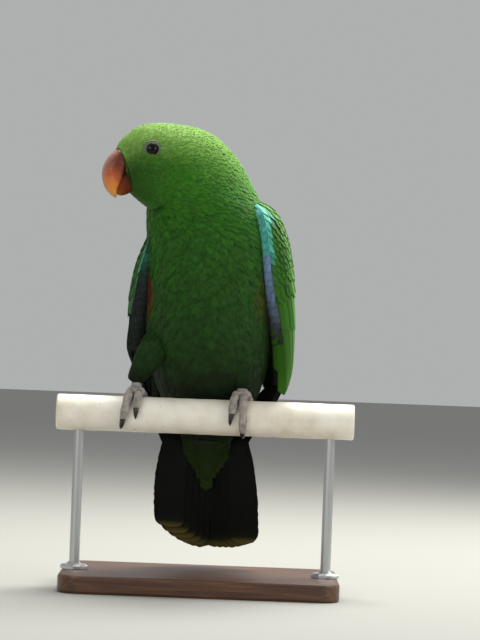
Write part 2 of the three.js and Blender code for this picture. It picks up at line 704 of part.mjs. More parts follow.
function makeBase() {
  const { width, depth, height, corner, bevel } = BASE;
  const w = width / 2 - bevel;
  const d = depth / 2 - bevel;
  const outline = new THREE.Shape();
  outline.moveTo(-w + corner, -d);
  outline.lineTo(w - corner, -d);
  outline.absarc(w - corner, -d + corner, corner, -Math.PI / 2, 0, false);
  outline.absarc(w - corner, d - corner, corner, 0, Math.PI / 2, false);
  outline.absarc(-w + corner, d - corner, corner, Math.PI / 2, Math.PI, false);
  outline.absarc(-w + corner, -d + corner, corner, Math.PI, 1.5 * Math.PI, false);
  const plate = new THREE.ExtrudeGeometry(outline, {
    depth: height - 2 * bevel, bevelThickness: bevel, bevelSize: bevel, bevelSegments: 2, curveSegments: 4,
  });
  plate.translate(0, 0, bevel);
  const socket = (x) => {
    const hole = new THREE.CylinderGeometry(ROD.radius + GAP, ROD.radius + GAP, 2 * ROD.socket, 12);
    hole.rotateX(Math.PI / 2);
    hole.translate(x, PERCH.y, height);
    return solid(hole);
  };
  return largest(solid(plate).subtract(socket(ROD.x)).subtract(socket(-ROD.x)));
}

function makeRod(x) {
  const { radius, flange, flangeHeight, socket, bore } = ROD;
  const foot = BASE.height + GAP;
  const top = PERCH.z - PERCH.radius + bore - GAP;
  const profile = [[0, BASE.height - socket + GAP], [radius, BASE.height - socket + GAP], [radius, foot],
    [flange, foot], [flange, foot + flangeHeight * 0.6], [flange - 1.4, foot + flangeHeight],
    [radius + 1.6, foot + flangeHeight], [radius, foot + flangeHeight + 2], [radius, top - 1],
    [radius - 1, top], [0, top]];
  const rod = new THREE.LatheGeometry(profile.map(([r, y]) => new THREE.Vector2(r, y)), 12);
  rod.rotateX(Math.PI / 2);
  rod.translate(x, PERCH.y, 0);
  return rod;
}

function makePerch() {
  const bore = (x) => {
    const depth = ROD.bore;
    const hole = new THREE.CylinderGeometry(ROD.radius + GAP, ROD.radius + GAP, 2 * depth, 12);
    hole.rotateX(Math.PI / 2);
    hole.translate(x, PERCH.y, PERCH.z - PERCH.radius);
    return solid(hole);
  };
  return largest(solid(perchShape(PERCH.radius)).subtract(bore(ROD.x)).subtract(bore(-ROD.x)));
}

function colour(hex, roughness, metalness = 0) {
  return new THREE.MeshStandardMaterial({ color: hex, roughness, metalness });
}

const MATERIAL = {
  crown: colour('#6fae45', 0.75),
  neck: colour('#35752a', 0.75),
  breast: colour('#28561c', 0.8),
  wing: colour('#3c8214', 0.65),
  tail: colour('#1d5a2c', 0.6),
  thigh: colour('#1f3d18', 0.8),
  upperBill: colour('#c8744a', 0.35),
  lowerBill: colour('#20150c', 0.35),
  eye: colour('#120d08', 0.08),
  foot: colour('#8f8683', 0.7),
  claw: colour('#1c1a19', 0.35),
  perch: colour('#e8e2d2', 0.6),
  rod: colour('#c4c6c8', 0.3, 1),
  base: colour('#5a3a26', 0.5),
};

const parrot = new THREE.Group();

function addPart(name, geometry, material) {
  const mesh = new THREE.Mesh(geometry, material);
  mesh.name = name;
  parrot.add(mesh);
}

const feet = { l: makeFoot('l'), r: makeFoot('r') };
const bill = makeBill();

addPart('head', makeHead(), MATERIAL.crown);
addPart('neck', bodyLength(NECK_START, HEAD_START, NECK_STEPS), MATERIAL.neck);
addPart('torso', makeTorso(), MATERIAL.breast);
addPart('bill_upper', bill.upper, MATERIAL.upperBill);
addPart('bill_lower', bill.lower, MATERIAL.lowerBill);
addPart('tail', makeTail(), MATERIAL.tail);
for (const [side, out, seed] of [['l', 1, 19], ['r', -1, 12]]) {
  const thigh = makeThigh(side).subtract(BODY_CLEAR).subtract(footClear(side));
  addPart(`eye_${side}`, eyeAt(out, EYE.radius), MATERIAL.eye);
  addPart(`wing_${side}`, makeWing(side, seed), MATERIAL.wing);
  addPart(`thigh_${side}`, largest(thigh), MATERIAL.thigh);
  addPart(`foot_${side}`, feet[side], MATERIAL.foot);
  for (const toe of TOES[side]) {
    addPart(`claw_${side}_${toe.name}`, makeClaw(LEG[side].foot, toe), MATERIAL.claw);
  }
}
addPart('perch', makePerch(), MATERIAL.perch);
addPart('stand_base', makeBase(), MATERIAL.base);
addPart('stand_rod_l', makeRod(ROD.x), MATERIAL.rod);
addPart('stand_rod_r', makeRod(-ROD.x), MATERIAL.rod);

export default parrot;
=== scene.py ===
"""A male eclectus parrot on a cut length of perch, held by a plain display stand.

Shapes are worked out in millimetres and made into meshes in metres, +Z up, in the frame's own
places. The bird's breast looks towards -Y and its left side is towards +X.
"""

import math

import bpy
import numpy as np
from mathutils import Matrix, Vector


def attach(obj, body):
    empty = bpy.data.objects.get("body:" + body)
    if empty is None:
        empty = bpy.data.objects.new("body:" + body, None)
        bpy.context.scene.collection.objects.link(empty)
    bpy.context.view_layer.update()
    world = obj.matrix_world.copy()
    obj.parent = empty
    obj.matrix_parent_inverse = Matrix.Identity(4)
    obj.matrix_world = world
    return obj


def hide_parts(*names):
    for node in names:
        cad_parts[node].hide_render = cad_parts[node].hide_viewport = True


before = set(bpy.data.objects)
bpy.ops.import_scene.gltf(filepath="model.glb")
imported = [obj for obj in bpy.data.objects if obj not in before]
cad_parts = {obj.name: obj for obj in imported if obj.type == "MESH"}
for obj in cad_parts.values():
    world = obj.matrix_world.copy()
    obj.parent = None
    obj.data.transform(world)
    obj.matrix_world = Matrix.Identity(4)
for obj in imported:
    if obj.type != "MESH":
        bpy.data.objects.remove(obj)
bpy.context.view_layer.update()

MM = 0.001
# Space left between parts that touch, in millimetres
GAP = 0.3
# One seed for all random places, so that every run gives the same feathers
RANDOM = np.random.default_rng(11)

# Perch and stand
PERCH = {"length": 232, "radius": 14, "y": -10, "z": 136, "chamfer": 1.4}
PERCH_AT = np.array([0, PERCH["y"], PERCH["z"]])

# Cross-sections of the body from rump to face: centre from the perch's axis, pitch and yaw of
# the body's line, reach to the back, front and side, and fullness of the curve
BODY_KEYS = ("x", "y", "z", "pitch", "yaw", "back", "front", "side", "full")
BODY = np.array([
    [1.6, 43, -17.7, 80, 8, 11.2, 12, 22, 2],  # rump
    [1.6, 38, 2.9, 79, 10, 19, 16, 33, 2.1],  # vent
    [1.7, 30, 27.4, 78, 12, 30, 29, 44, 2.2],  # belly
    [0.8, 19, 61.9, 79, 12, 39, 43, 50, 2.2],  # flank
    [1, 10, 100.1, 82, 12, 43, 47, 51, 2.2],  # keel
    [0, 5, 128.1, 84, 14, 44, 45, 51, 2.2],  # breast
    [-4, 1, 149, 79, 21, 45, 41, 49, 2.1],  # crop
    [-11, -3, 165.9, 69, 34, 47, 37, 44, 2.1],  # collar
    [-19.8, -8, 179.2, 52, 48, 46, 32, 37, 2.1],  # nape
    [-28.2, -12, 188, 32, 60, 41, 30.6, 31, 2.1],  # occiput
    [-37.6, -16, 192.3, 14, 66, 35.4, 33.6, 26, 2.1],  # ear
    [-46.9, -20, 194, 2, 68, 32.8, 34.6, 22, 2.2],  # cheek
    [-56.2, -24.5, 194.3, -7, 68, 29.3, 32.4, 18.5, 2.2],  # eye
    [-64.9, -28, 192.1, -14, 68, 23.3, 25.8, 14.5, 2.2],  # lore
    [-70.3, -30.5, 190, -20, 68, 16.9, 19.8, 11.5, 2.2],  # face
])
FACE = len(BODY) - 1

HEAD = {"x": -41.6, "y": -18, "z": 202, "yaw": 68, "pitch": -12}
EYE = {"forward": 12.8, "up": 5.9, "out": 14.2, "radius": 6.2, "long": 6.3, "high": 5.5}

# Sections of the bill: forward, up, pitch, reach to the ridge, to the edge and to each side,
# fullness
UPPER_BILL = np.array([
    [34, 1.6, -8, 8.4, 9.4, 9.6, 2.3],
    [38.4, -1.6, -21, 8.4, 10.2, 9.5, 2.3],
    [42.2, -5.6, -36, 7.6, 10.6, 8.8, 2.3],
    [44.6, -9.8, -49, 6.7, 9.6, 7.6, 2.2],
    [45.6, -14.2, -64, 5.3, 8, 6.2, 2.2],
    [45.3, -18.8, -80, 4.3, 5.4, 4.7, 2.1],
    [44, -22.8, -98, 2.8, 3.2, 3, 2],
    [42.4, -26.4, -112, 0.9, 0.8, 0.9, 2],
])
LOWER_BILL = np.array([
    [30, -15.6, -11, 9, 7.8, 8.8, 2.3],
    [33.2, -17.4, -12, 9, 7.8, 8.4, 2.3],
    [36.4, -19.2, -10, 8, 6.8, 7.2, 2.2],
    [39.4, -20.8, -4, 5.4, 4.8, 5.2, 2],
    [41.4, -21.6, 4, 2, 1.8, 2.4, 2],
])

# Levels of the surface that a folded wing lies on
WING_YAW = 12
WING_PITCH = 80
WING_LEAN = 8
WING_FULL = 2.15
WING_KEYS = ("z", "y", "back", "front", "lead", "rear", "inner", "side_l", "side_r", "edge_l", "edge_r")
WING = np.array([
    [167, -1, 34, 22, 6, 3, 62, 30, 30, 104, 104],
    [159, 0, 43, 32, 14, 5, 44, 43, 43, 116, 116],
    [148, 2, 49, 37, 18, 6, 32, 52.4, 52.4, 123, 123],
    [128, 5, 50.4, 40, 19, 6, 23, 60, 61, 127, 126],
    [100, 10, 51, 40, 20, 6, 15, 65, 66, 127, 124],
    [75, 16, 48.5, 38, 20, 6, 10, 67.5, 65.5, 122, 114],
    [50, 22, 43.5, 35, 20, 6, 6, 68, 62.5, 116, 88],
    [25, 30, 35.5, 30, 16, 5, 4, 66.5, 59, 108, 72],
    [3, 38, 25, 24, 10, 5, 3, 59, 54, 88, 62],
    [-18, 44, 18.5, 16, 8, 5, 4, 46, 46, 56, 52],
    [-38, 48, 15, 12, 7, 5, 6, 37, 37, 40, 40],
    [-62, 53, 12.5, 9, 6, 4, 9, 30, 30, 27, 27],
])

TAIL = {"x": 1.4, "y": 44, "z": -17, "slope": 13.5, "yaw": 8, "width": 25, "layer": 0.85, "dome": 4.5}
# Tail feathers from the middle outwards, on the left (1) and right (-1): where each tip lies,
# which layer down it lies in, and how far apart the tips spread
TAIL_TIPS = {1: (92, 91.5, 91, 90.5, 89, 87), -1: (92.5, 91, 88.5, 85, 80.5, 75)}
TAIL_LAYERS = {1: (0, 2, 3, 4, 5, 6), -1: (1, 3, 4, 5, 6, 7)}
TAIL_SPREAD = {1: 4.9, -1: 4.6}

LEGS = {
    "l": {"foot": 28, "ankle": (28.6, 3, 28), "knee": (30, -2, 50), "hip": (24, 12, 74)},
    "r": {"foot": -55, "ankle": (-54.2, 4, 30), "knee": (-41, 1, 54), "hip": (-28, 18, 80)},
}
TOE = {"radius": 3.5, "clear": 0.35}
# Toe: sideways place at the foot and at the claw, end angle round the perch, claw's end angle
TOES = {
    "l": {
        "1": (-3.4, -8, -68, -98),
        "2": (-4.4, -7.6, 78, 112),
        "3": (1.2, 1.4, 126, 164),
        "4": (3.4, 8.5, -92, -128),
    },
    "r": {
        "1": (3.4, 8, -68, -98),
        "2": (2.8, 1.4, 72, 103),
        "3": (-3.4, -8.6, 100, 140),
        "4": (-3.6, -9.5, -92, -128),
    },
}


# Curves and surfaces

def smooth(values, t):
    """Smooth curve through equally spaced values."""
    values = np.asarray(values, float)
    t = np.asarray(t, float)
    last = len(values) - 1
    place = np.clip(t, 0, last)
    i = np.minimum(place.astype(int), last - 1)
    f = place - i
    longer = np.concatenate([[2 * values[0] - values[1]], values, [2 * values[-1] - values[-2]]])
    a, b, c, d = (longer[i + k] for k in range(4))
    bend = 2 * a - 5 * b + 4 * c - d
    twist = 3 * b - a - 3 * c + d
    return 0.5 * (2 * b + (c - a) * f + bend * f**2 + twist * f**3)


def fuller(value, full):
    """Sine or cosine flattened towards a fuller curve than an ellipse."""
    return np.sign(value) * np.abs(value) ** (2 / full)


def axes(pitch, yaw):
    """Directions of a cross-section: the way it looks, the bird's left and its back."""
    pitch, yaw = np.radians(pitch), np.radians(yaw)
    zero = np.zeros_like(pitch + yaw)
    level = np.stack([-np.sin(yaw) + zero, -np.cos(yaw) + zero, zero], -1)
    left = np.stack([np.cos(yaw) + zero, -np.sin(yaw) + zero, zero], -1)
    rise = np.stack([zero, zero, zero + 1], -1)
    back = -level * np.sin(pitch)[..., None] + rise * np.cos(pitch)[..., None]
    ahead = level * np.cos(pitch)[..., None] + rise * np.sin(pitch)[..., None]
    return ahead, left, back


def body_point(t, angle, grow=0.0):
    """Point on the body: t along it from the rump, angle round it from the back's middle."""
    t, angle, grow = np.broadcast_arrays(np.asarray(t, float), angle, grow)
    row = {key: smooth(BODY[:, i], t) for i, key in enumerate(BODY_KEYS)}
    _, left, back = axes(row["pitch"], row["yaw"])
    turn = np.radians(angle)
    round_back = fuller(np.cos(turn), row["full"])
    sideways = fuller(np.sin(turn), row["full"])
    reach = np.where(round_back > 0, row["back"], row["front"]) + grow
    centre = np.stack([row["x"], row["y"], row["z"]], -1) + PERCH_AT
    wide = (row["side"] + grow) * sideways
    return centre + back * (reach * round_back)[..., None] + left * wide[..., None]


def head_point(forward, left, up, pitch=HEAD["pitch"]):
    """Point in the head's frame."""
    ahead, side, back = axes(np.float64(pitch), np.float64(HEAD["yaw"]))
    centre = np.array([HEAD["x"], HEAD["y"], HEAD["z"]]) + PERCH_AT
    forward, left, up = np.broadcast_arrays(np.asarray(forward, float), left, up)
    return centre + forward[..., None] * ahead + left[..., None] * side + up[..., None] * back


WING_Z = WING[:, 0]


def wing_value(key, z):
    """One of the wing's measures at a height."""
    level = np.interp(-np.asarray(z, float), -WING_Z, np.arange(len(WING_Z)))
    return smooth(WING[:, WING_KEYS.index(key)], level)


def wing_point(side, z, across, height):
    """Point on a wing: z up it, across from its front edge (0) to its back edge (1)."""
    z, across, height = np.broadcast_arrays(np.asarray(z, float), across, height)
    _, left, back = axes(np.float64(WING_PITCH), np.float64(WING_YAW))
    out = 1 if side == "l" else -1
    edge, inner = wing_value("edge_" + side, z), wing_value("inner", z)
    angle = np.radians(edge + (inner - edge) * across)
    round_back = fuller(np.cos(angle), WING_FULL)
    sideways = fuller(np.sin(angle), WING_FULL)
    reach = np.where(round_back > 0, wing_value("back", z), wing_value("front", z))
    reach_out = wing_value("side_" + side, z)
    steep = np.stack([sideways / reach_out, round_back / reach], -1)
    steep /= np.linalg.norm(steep, axis=-1, keepdims=True)
    wide = out * (reach_out * sideways + height * steep[..., 0])
    rise = z + PERCH["z"] + math.tan(math.radians(WING_LEAN)) * wide
    base = np.stack([np.ones_like(z), wing_value("y", z) + PERCH["y"], rise], -1)
    deep = reach * round_back + height * steep[..., 1]
    return base + left * wide[..., None] + back * deep[..., None]


def wing_span(side, z):
    """Width of the wing's surface at one height, measured round it."""
    steps = np.linspace(0, 1, 9)
    points = wing_point(side, np.asarray(z, float)[..., None], steps, 0)
    return np.linalg.norm(np.diff(points, axis=-2), axis=-1).sum(-1)


def on_wing(side, z, across):
    """Place on the wing's sheet: height, and distance from the sheet's middle line."""
    return z, (across - 0.5) * float(wing_span(side, z))


def tail_point(along, across, height):
    """Point on the tail: along down it, across to the bird's left, height out of its back."""
    along, across, height = np.broadcast_arrays(np.asarray(along, float), across, height)
    yaw, slope = math.radians(TAIL["yaw"]), math.radians(TAIL["slope"])
    east, north = math.sin(yaw), math.cos(yaw)
    left = np.array([north, -east, 0])
    down = np.array([east * math.sin(slope), north * math.sin(slope), -math.cos(slope)])
    back = np.array([east * math.cos(slope), north * math.cos(slope), math.sin(slope)])
    root = np.array([TAIL["x"], TAIL["y"], TAIL["z"]]) + PERCH_AT
    deep = height - TAIL["dome"] * (across / 43) ** 2
    return root + along[..., None] * down + across[..., None] * left + deep[..., None] * back


# Materials

def linear(code):
    """sRGB hex colour as linear red, green, blue and opacity."""
    parts = [int(code[i:i + 2], 16) / 255 for i in (1, 3, 5)]
    return (*[p / 12.92 if p <= 0.04045 else ((p + 0.055) / 1.055) ** 2.4 for p in parts], 1.0)


def add(tree, kind, inputs=None, stops=None, **settings):
    """Adds a node with its settings. Each input is set, or linked where it is given a socket or
    a node, whose first output is meant."""
    made = tree.nodes.new(kind)
    for name, value in settings.items():
        setattr(made, name, value)
    if stops:
        marks = made.color_ramp.elements
        while len(marks) < len(stops):
            marks.new(0.5)
        for mark, (position, code) in zip(marks, stops):
            mark.position = position
            mark.color = linear(code)
    for key, value in (inputs or {}).items():
        if isinstance(value, bpy.types.Node):
            value = value.outputs[0]
        if isinstance(value, bpy.types.NodeSocket):
            tree.links.new(value, made.inputs[key])
        else:
            made.inputs[key].default_value = value
    return made


def material(name, surface):
    """New material whose nodes surface() builds; surface returns the shader's settings."""
    made = bpy.data.materials.new(name)
    made.use_nodes = True
    tree = made.node_tree
    tree.nodes.clear()
    shader = add(tree, "ShaderNodeBsdfPrincipled", surface(tree))
    add(tree, "ShaderNodeOutputMaterial", {"Surface": shader})
    return made


def mark_parts(tree, name):
    """Three parts of a mark that the mesh carries: place on the bird, or lie on the feather."""
    mark = add(tree, "ShaderNodeAttribute", attribute_name=name)
    return add(tree, "ShaderNodeSeparateXYZ", {"Vector": mark.outputs["Vector"]}).outputs


def barbs(tree, colour, lines, depth, spread):
    """Fine slanting lines of a feather's barbs, a little darker between, and their relief."""
    parts = mark_parts(tree, "lie")
    aside = add(tree, "ShaderNodeMath", {0: parts["X"]}, operation="ABSOLUTE")
    slant = add(tree, "ShaderNodeMath", {0: aside, 1: -0.55, 2: parts["Y"]}, operation="MULTIPLY_ADD")
    spaced = add(tree, "ShaderNodeMath", {0: slant, 1: lines * 2 * math.pi}, operation="MULTIPLY")
    wave = add(tree, "ShaderNodeMath", {0: spaced}, operation="SINE")
    strength = add(
        tree, "ShaderNodeMapRange",
        {"Value": wave, "From Min": -1, "From Max": 1, "To Min": 1 - spread, "To Max": 1 + spread * 0.6},
    )
    each = add(
        tree, "ShaderNodeMapRange", {"Value": parts["Z"], "To Min": 1 - spread, "To Max": 1 + spread},
    )
    both = add(tree, "ShaderNodeMath", {0: strength, 1: each}, operation="MULTIPLY")
    toned = add(tree, "ShaderNodeVectorMath", {0: colour, "Scale": both}, operation="SCALE")
    relief = add(tree, "ShaderNodeBump", {"Height": wave, "Strength": 0.5, "Distance": depth * MM})
    return toned, relief


# Greens of the body from rump (0) to face (1), on its back and sides and on its front. The back's ramp
# grows lighter towards the crown as painted light from above; the front's ramp is darker as painted shade,
# darkest low on the belly between the thighs.
TOP_LIT_BACK_GREENS = [
    (0.0, "#235f14"), (0.25, "#348018"), (0.5, "#4b9424"), (0.64, "#74a83c"), (0.78, "#8cbc54"),
    (0.92, "#8fbd5c"), (1.0, "#7cac4c"),
]
SHADED_FRONT_GREENS = [
    (0.0, "#071403"), (0.1, "#0b1c05"), (0.145, "#0d2006"), (0.19, "#18360c"), (0.35, "#255810"),
    (0.52, "#306c16"), (0.66, "#377818"), (0.8, "#346c18"), (1.0, "#284f12"),
]


def plumage_and_painted_light(tree):
    """Colours of the body: yellow-green crown with painted light from above, mid-green face, breast and
    belly darkened with painted shade.
    """
    parts = mark_parts(tree, "place")
    coords = add(tree, "ShaderNodeTexCoord").outputs["Object"]
    patches = add(tree, "ShaderNodeTexNoise", {"Vector": coords, "Scale": 90.0, "Detail": 3.0})
    drift = add(tree, "ShaderNodeMapRange", {"Value": patches, "To Min": -0.06, "To Max": 0.06})
    along = add(tree, "ShaderNodeMath", {0: parts["X"], 1: drift}, operation="ADD")
    lit_behind = add(tree, "ShaderNodeValToRGB", {"Fac": along}, stops=TOP_LIT_BACK_GREENS)
    ahead = add(tree, "ShaderNodeValToRGB", {"Fac": along}, stops=SHADED_FRONT_GREENS)
    turned = add(tree, "ShaderNodeMath", {0: parts["Y"], 1: drift}, operation="ADD")
    # Back and sides take the lit ramp and the front the shaded one: painted light and shade
    facing = add(
        tree, "ShaderNodeMapRange", {"Value": turned, "From Min": 0.2, "From Max": 0.56},
        interpolation_type="SMOOTHSTEP",
    )
    green = add(tree, "ShaderNodeMix", {0: facing, 6: lit_behind, 7: ahead}, data_type="RGBA")
    red = add(
        tree, "ShaderNodeMix", {0: parts["Z"], 6: green.outputs[2], 7: linear("#661606")},
        data_type="RGBA",
    )
    return red.outputs[2]


def contour_feathers(tree):
    """Small body feathers: keratin barbs that scatter a soft green. The eye sees a velvety
    surface with a faint sheen and no gloss."""
    colour, relief = barbs(tree, plumage_and_painted_light(tree), 9, 0.12, 0.22)
    return {
        "Base Color": colour, "Normal": relief, "Roughness": 0.62, "IOR": 1.55,
        "Specular IOR Level": 0.16, "Sheen Weight": 0.08, "Sheen Roughness": 0.45,
        "Sheen Tint": linear("#b8d890"),
    }


def down(tree):
    """Short down close to the skin. The eye sees it only between feathers, dull, and darkened as painted
    shade in the gaps.
    """
    shade = add(tree, "ShaderNodeVectorMath", {0: plumage_and_painted_light(tree), "Scale": 0.45}, operation="SCALE")
    return {"Base Color": shade, "Roughness": 0.9, "IOR": 1.55, "Specular IOR Level": 0.1}


def vane_feathers(stops, rough=0.5, lines=26, along="X", spread=0.16, band=None):
    """Stiff feathers: smooth barbs locked into a vane, coloured along one part of their place.
    The eye sees a soft shine and fine slanting lines. Another band of colours runs down the
    wing where the place says so."""
    def surface(tree):
        parts = mark_parts(tree, "place")
        colour = add(tree, "ShaderNodeValToRGB", {"Fac": parts[along]}, stops=stops)
        if band:
            blue = add(tree, "ShaderNodeValToRGB", {"Fac": parts["Y"]}, stops=band)
            mixed = add(tree, "ShaderNodeMix", {0: parts["Z"], 6: colour, 7: blue}, data_type="RGBA")
            colour = mixed.outputs[2]
        colour, relief = barbs(tree, colour, lines, 0.15, spread)
        return {
            "Base Color": colour, "Normal": relief, "Roughness": rough, "IOR": 1.55,
            "Specular IOR Level": 0.14, "Sheen Weight": 0.02, "Sheen Roughness": 0.4,
            "Sheen Tint": linear("#c0d8a0"),
        }
    return surface


# Meshes

def loft(rings, closed=True):
    """Points and four-sided faces of a skin over rings of points."""
    rows, around = rings.shape[:2]
    index = np.arange(rows * around).reshape(rows, around)
    right = np.roll(index, -1, axis=1) if closed else index[:, 1:]
    here = index if closed else index[:, :-1]
    faces = np.stack([here[:-1], right[:-1], right[1:], here[1:]], -1).reshape(-1, 4)
    return rings.reshape(-1, 3), faces


def capped(rings):
    """Closed loft with a fan at both ends, as triangles that point out."""
    points, faces = loft(rings)
    triangles = np.concatenate([faces[:, [0, 1, 2]], faces[:, [0, 2, 3]]])
    around, count = rings.shape[1], len(points)
    points = np.concatenate([points, rings[0].mean(0)[None], rings[-1].mean(0)[None]])
    j = np.arange(around)
    k = (j + 1) % around
    first = np.stack([k, j, np.full(around, count)], -1)
    last = np.stack([count - around + j, count - around + k, np.full(around, count + 1)], -1)
    faces = np.concatenate([triangles, first, last])
    a, b, c = (points[faces[:, i]] for i in range(3))
    volume = np.einsum("ij,ij->i", a, np.cross(b, c)).sum()
    return points, faces[:, ::-1] if volume < 0 else faces


def join(parts):
    """Several (points, faces) as one."""
    start, points, faces = 0, [], []
    for some, more in parts:
        points.append(some)
        faces.append(more + start)
        start += len(some)
    return np.concatenate(points), np.concatenate(faces)


def piece(name, points, faces, finish, replaces=(), marks=None, patch=None, finish_of=None):
    """Makes an object from points in millimetres, rides it on the frame and gives it a finish.
    With finish_of, finish is a list and each face has its number."""
    mesh = bpy.data.meshes.new(name)
    corners = faces.shape[1]
    mesh.vertices.add(len(points))
    mesh.vertices.foreach_set("co", (points * MM).astype(np.float32).ravel())
    mesh.loops.add(faces.size)
    mesh.loops.foreach_set("vertex_index", faces.astype(np.int32).ravel())
    mesh.polygons.add(len(faces))
    mesh.polygons.foreach_set("loop_start", np.arange(0, faces.size, corners, dtype=np.int32))
    mesh.update(calc_edges=True)
    mesh.polygons.foreach_set("use_smooth", np.ones(len(faces), bool))
    for key, values in (marks or {}).items():
        layer = mesh.attributes.new(key, "FLOAT_VECTOR", "POINT")
        layer.data.foreach_set("vector", values.astype(np.float32).ravel())
    if patch is not None:
        layer = mesh.uv_layers.new(name="OFBake")
        layer.data.foreach_set("uv", patch[faces.ravel()].astype(np.float32).ravel())
    for item in [finish] if finish_of is None else finish:
        mesh.materials.append(item)
    if finish_of is not None:
        mesh.polygons.foreach_set("material_index", finish_of.astype(np.int32))
    obj = bpy.data.objects.new(name, mesh)
    bpy.context.scene.collection.objects.link(obj)
    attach(obj, "root")
    if replaces:
        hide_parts(*replaces)


# Body feathers

def tuft(columns, rows, tooth):
    """Flat feather that ends in separate barb tips: across (-1 to 1), along (0 to 1), faces."""
    across = np.linspace(-1, 1, columns)
    along = np.linspace(0, 1 - tooth, rows)
    q, s = np.meshgrid(across, along)
    index = np.arange(rows * columns).reshape(rows, columns)
    corners = (index[:-1, :-1], index[:-1, 1:], index[1:, 1:], index[1:, :-1])
    a, b, c, d = (corner.ravel() for corner in corners)
    faces = [np.stack([a, b, c], -1), np.stack([a, c, d], -1)]
    tips = rows * columns + np.arange(columns - 1)
    faces.append(np.stack([index[-1, :-1], index[-1, 1:], tips], -1))
    q = np.concatenate([q.ravel(), (across[1:] + across[:-1]) / 2])
    s = np.concatenate([s.ravel(), np.ones(columns - 1)])
    return q, s, np.concatenate(faces)


def scatter(area_point, low, high, spacing, wanted, tries):
    """Places spread evenly at random over a surface, nowhere closer than spacing allows."""
    u = RANDOM.uniform(low[0], high[0], tries)
    v = RANDOM.uniform(low[1], high[1], tries)
    step_u, step_v = (high[0] - low[0]) * 1e-3, (high[1] - low[1]) * 1e-3
    across_u = (area_point(u + step_u, v) - area_point(u - step_u, v)) / (2 * step_u)
    across_v = (area_point(u, v + step_v) - area_point(u, v - step_v)) / (2 * step_v)
    area = np.linalg.norm(np.cross(across_u, across_v), axis=-1)
    clear = spacing(u)
    chance = area / clear**2
    keep = RANDOM.random(tries) < chance / chance.max() * 1.6
    u, v, clear = u[keep], v[keep], clear[keep]
    inside = wanted(u, v)
    u, v, clear = u[inside], v[inside], clear[inside]
    points = area_point(u, v)
    cell = clear.max()
    cells, chosen = {}, []
    neighbours = [(dx, dy, dz) for dx in (-1, 0, 1) for dy in (-1, 0, 1) for dz in (-1, 0, 1)]
    keys = map(tuple, np.floor(points / cell).astype(int).tolist())
    for i, (p, key, gap) in enumerate(zip(points.tolist(), keys, clear.tolist())):
        limit = gap * gap
        near = any(
            (x - p[0]) ** 2 + (y - p[1]) ** 2 + (z - p[2]) ** 2 < limit
            for step in neighbours
            for x, y, z in cells.get((key[0] + step[0], key[1] + step[1], key[2] + step[2]), ())
        )
        if not near:
            cells.setdefault(key, []).append(p)
            chosen.append(i)
    return u[chosen], v[chosen]


# Side of one small feather's patch of the unwrap, as a share of the whole
PATCH = 0.0015
# Length, half width and spacing of body feathers at places along the body, and the coat's
# depth there
COAT_T = (0, 2, 4, 6, 8, 10, 12, 13.3, 14)
COAT = {
    "length": (22, 19, 16.5, 14, 10.5, 7.4, 5.2, 3.6, 2.6),
    "half": (5.4, 5.0, 4.4, 3.7, 2.6, 1.9, 1.35, 1.0, 0.8),
    "spacing": (4.4, 4.1, 3.6, 3.0, 2.1, 1.45, 1.05, 0.8, 0.65),
    "depth": (2.6, 2.8, 2.8, 2.7, 2.4, 2.0, 1.5, 1.1, 0.8),
}


def coat_value(key, t):
    """One of the coat's measures at a place along the body."""
    return np.interp(t, COAT_T, COAT[key])


def wrapped_angle(angle):
    """Angle from the back's middle line, 0 to 180 on either side."""
    return np.abs((np.asarray(angle) + 180) % 360 - 180)


def under_wing(t, angle):
    """True where a folded wing hides the body, some way in from the wing's edges in degrees."""
    z = body_point(t, angle)[..., 2] - PERCH["z"]
    turn = wrapped_angle(angle)
    inner, edge_l, edge_r = (WING[:, WING_KEYS.index(key)] for key in ("inner", "edge_l", "edge_r"))
    rear = np.interp(-z, -WING_Z, inner) + 16
    lead = np.interp(-z, -WING_Z, np.minimum(edge_l, edge_r)) - 20
    return (turn > rear) & (turn < lead) & (z > -5) & (z < 158)


def red_flank(t, angle):
    """How red the flank is under the wing's edge, 0 to 1, and fainter on the bird's left."""
    turn = wrapped_angle(angle)
    far = ((turn - 114) / 13) ** 2 + ((t - 3.95) / 0.5) ** 2
    left = (np.asarray(angle) + 180) % 360 > 180
    return np.clip(1.5 - far, 0, 1) * np.where(left, 0.25, 1)


def eye_clear(points):
    """True away from both eyes' bare rings."""
    clear = np.ones(points.shape[:-1], bool)
    for out in (1, -1):
        middle = head_point(EYE["forward"], out * (EYE["out"] + 3), EYE["up"])
        clear &= np.linalg.norm(points - middle, axis=-1) > EYE["long"] + 0.2
    return clear


def feather_coat(name, points, place, shade, root, tuft_parts):
    """Small feathers of one tuft form as one piece. root is each one's place in the unwrap."""
    q, s, faces = tuft_parts
    count = len(points)
    lie = np.stack(np.broadcast_arrays(q, s, shade[:, None]), -1)
    patch = root[:, None, :] + PATCH * np.stack([q, 2 * s - 1], -1)[None]
    every = (faces[None] + (np.arange(count) * len(s))[:, None, None]).reshape(-1, 3)
    marks = {"place": place.reshape(-1, 3), "lie": lie.reshape(-1, 3)}
    piece(
        name, points.reshape(-1, 3), every, CONTOUR, marks=marks,
        patch=patch.reshape(-1, 2),
    )


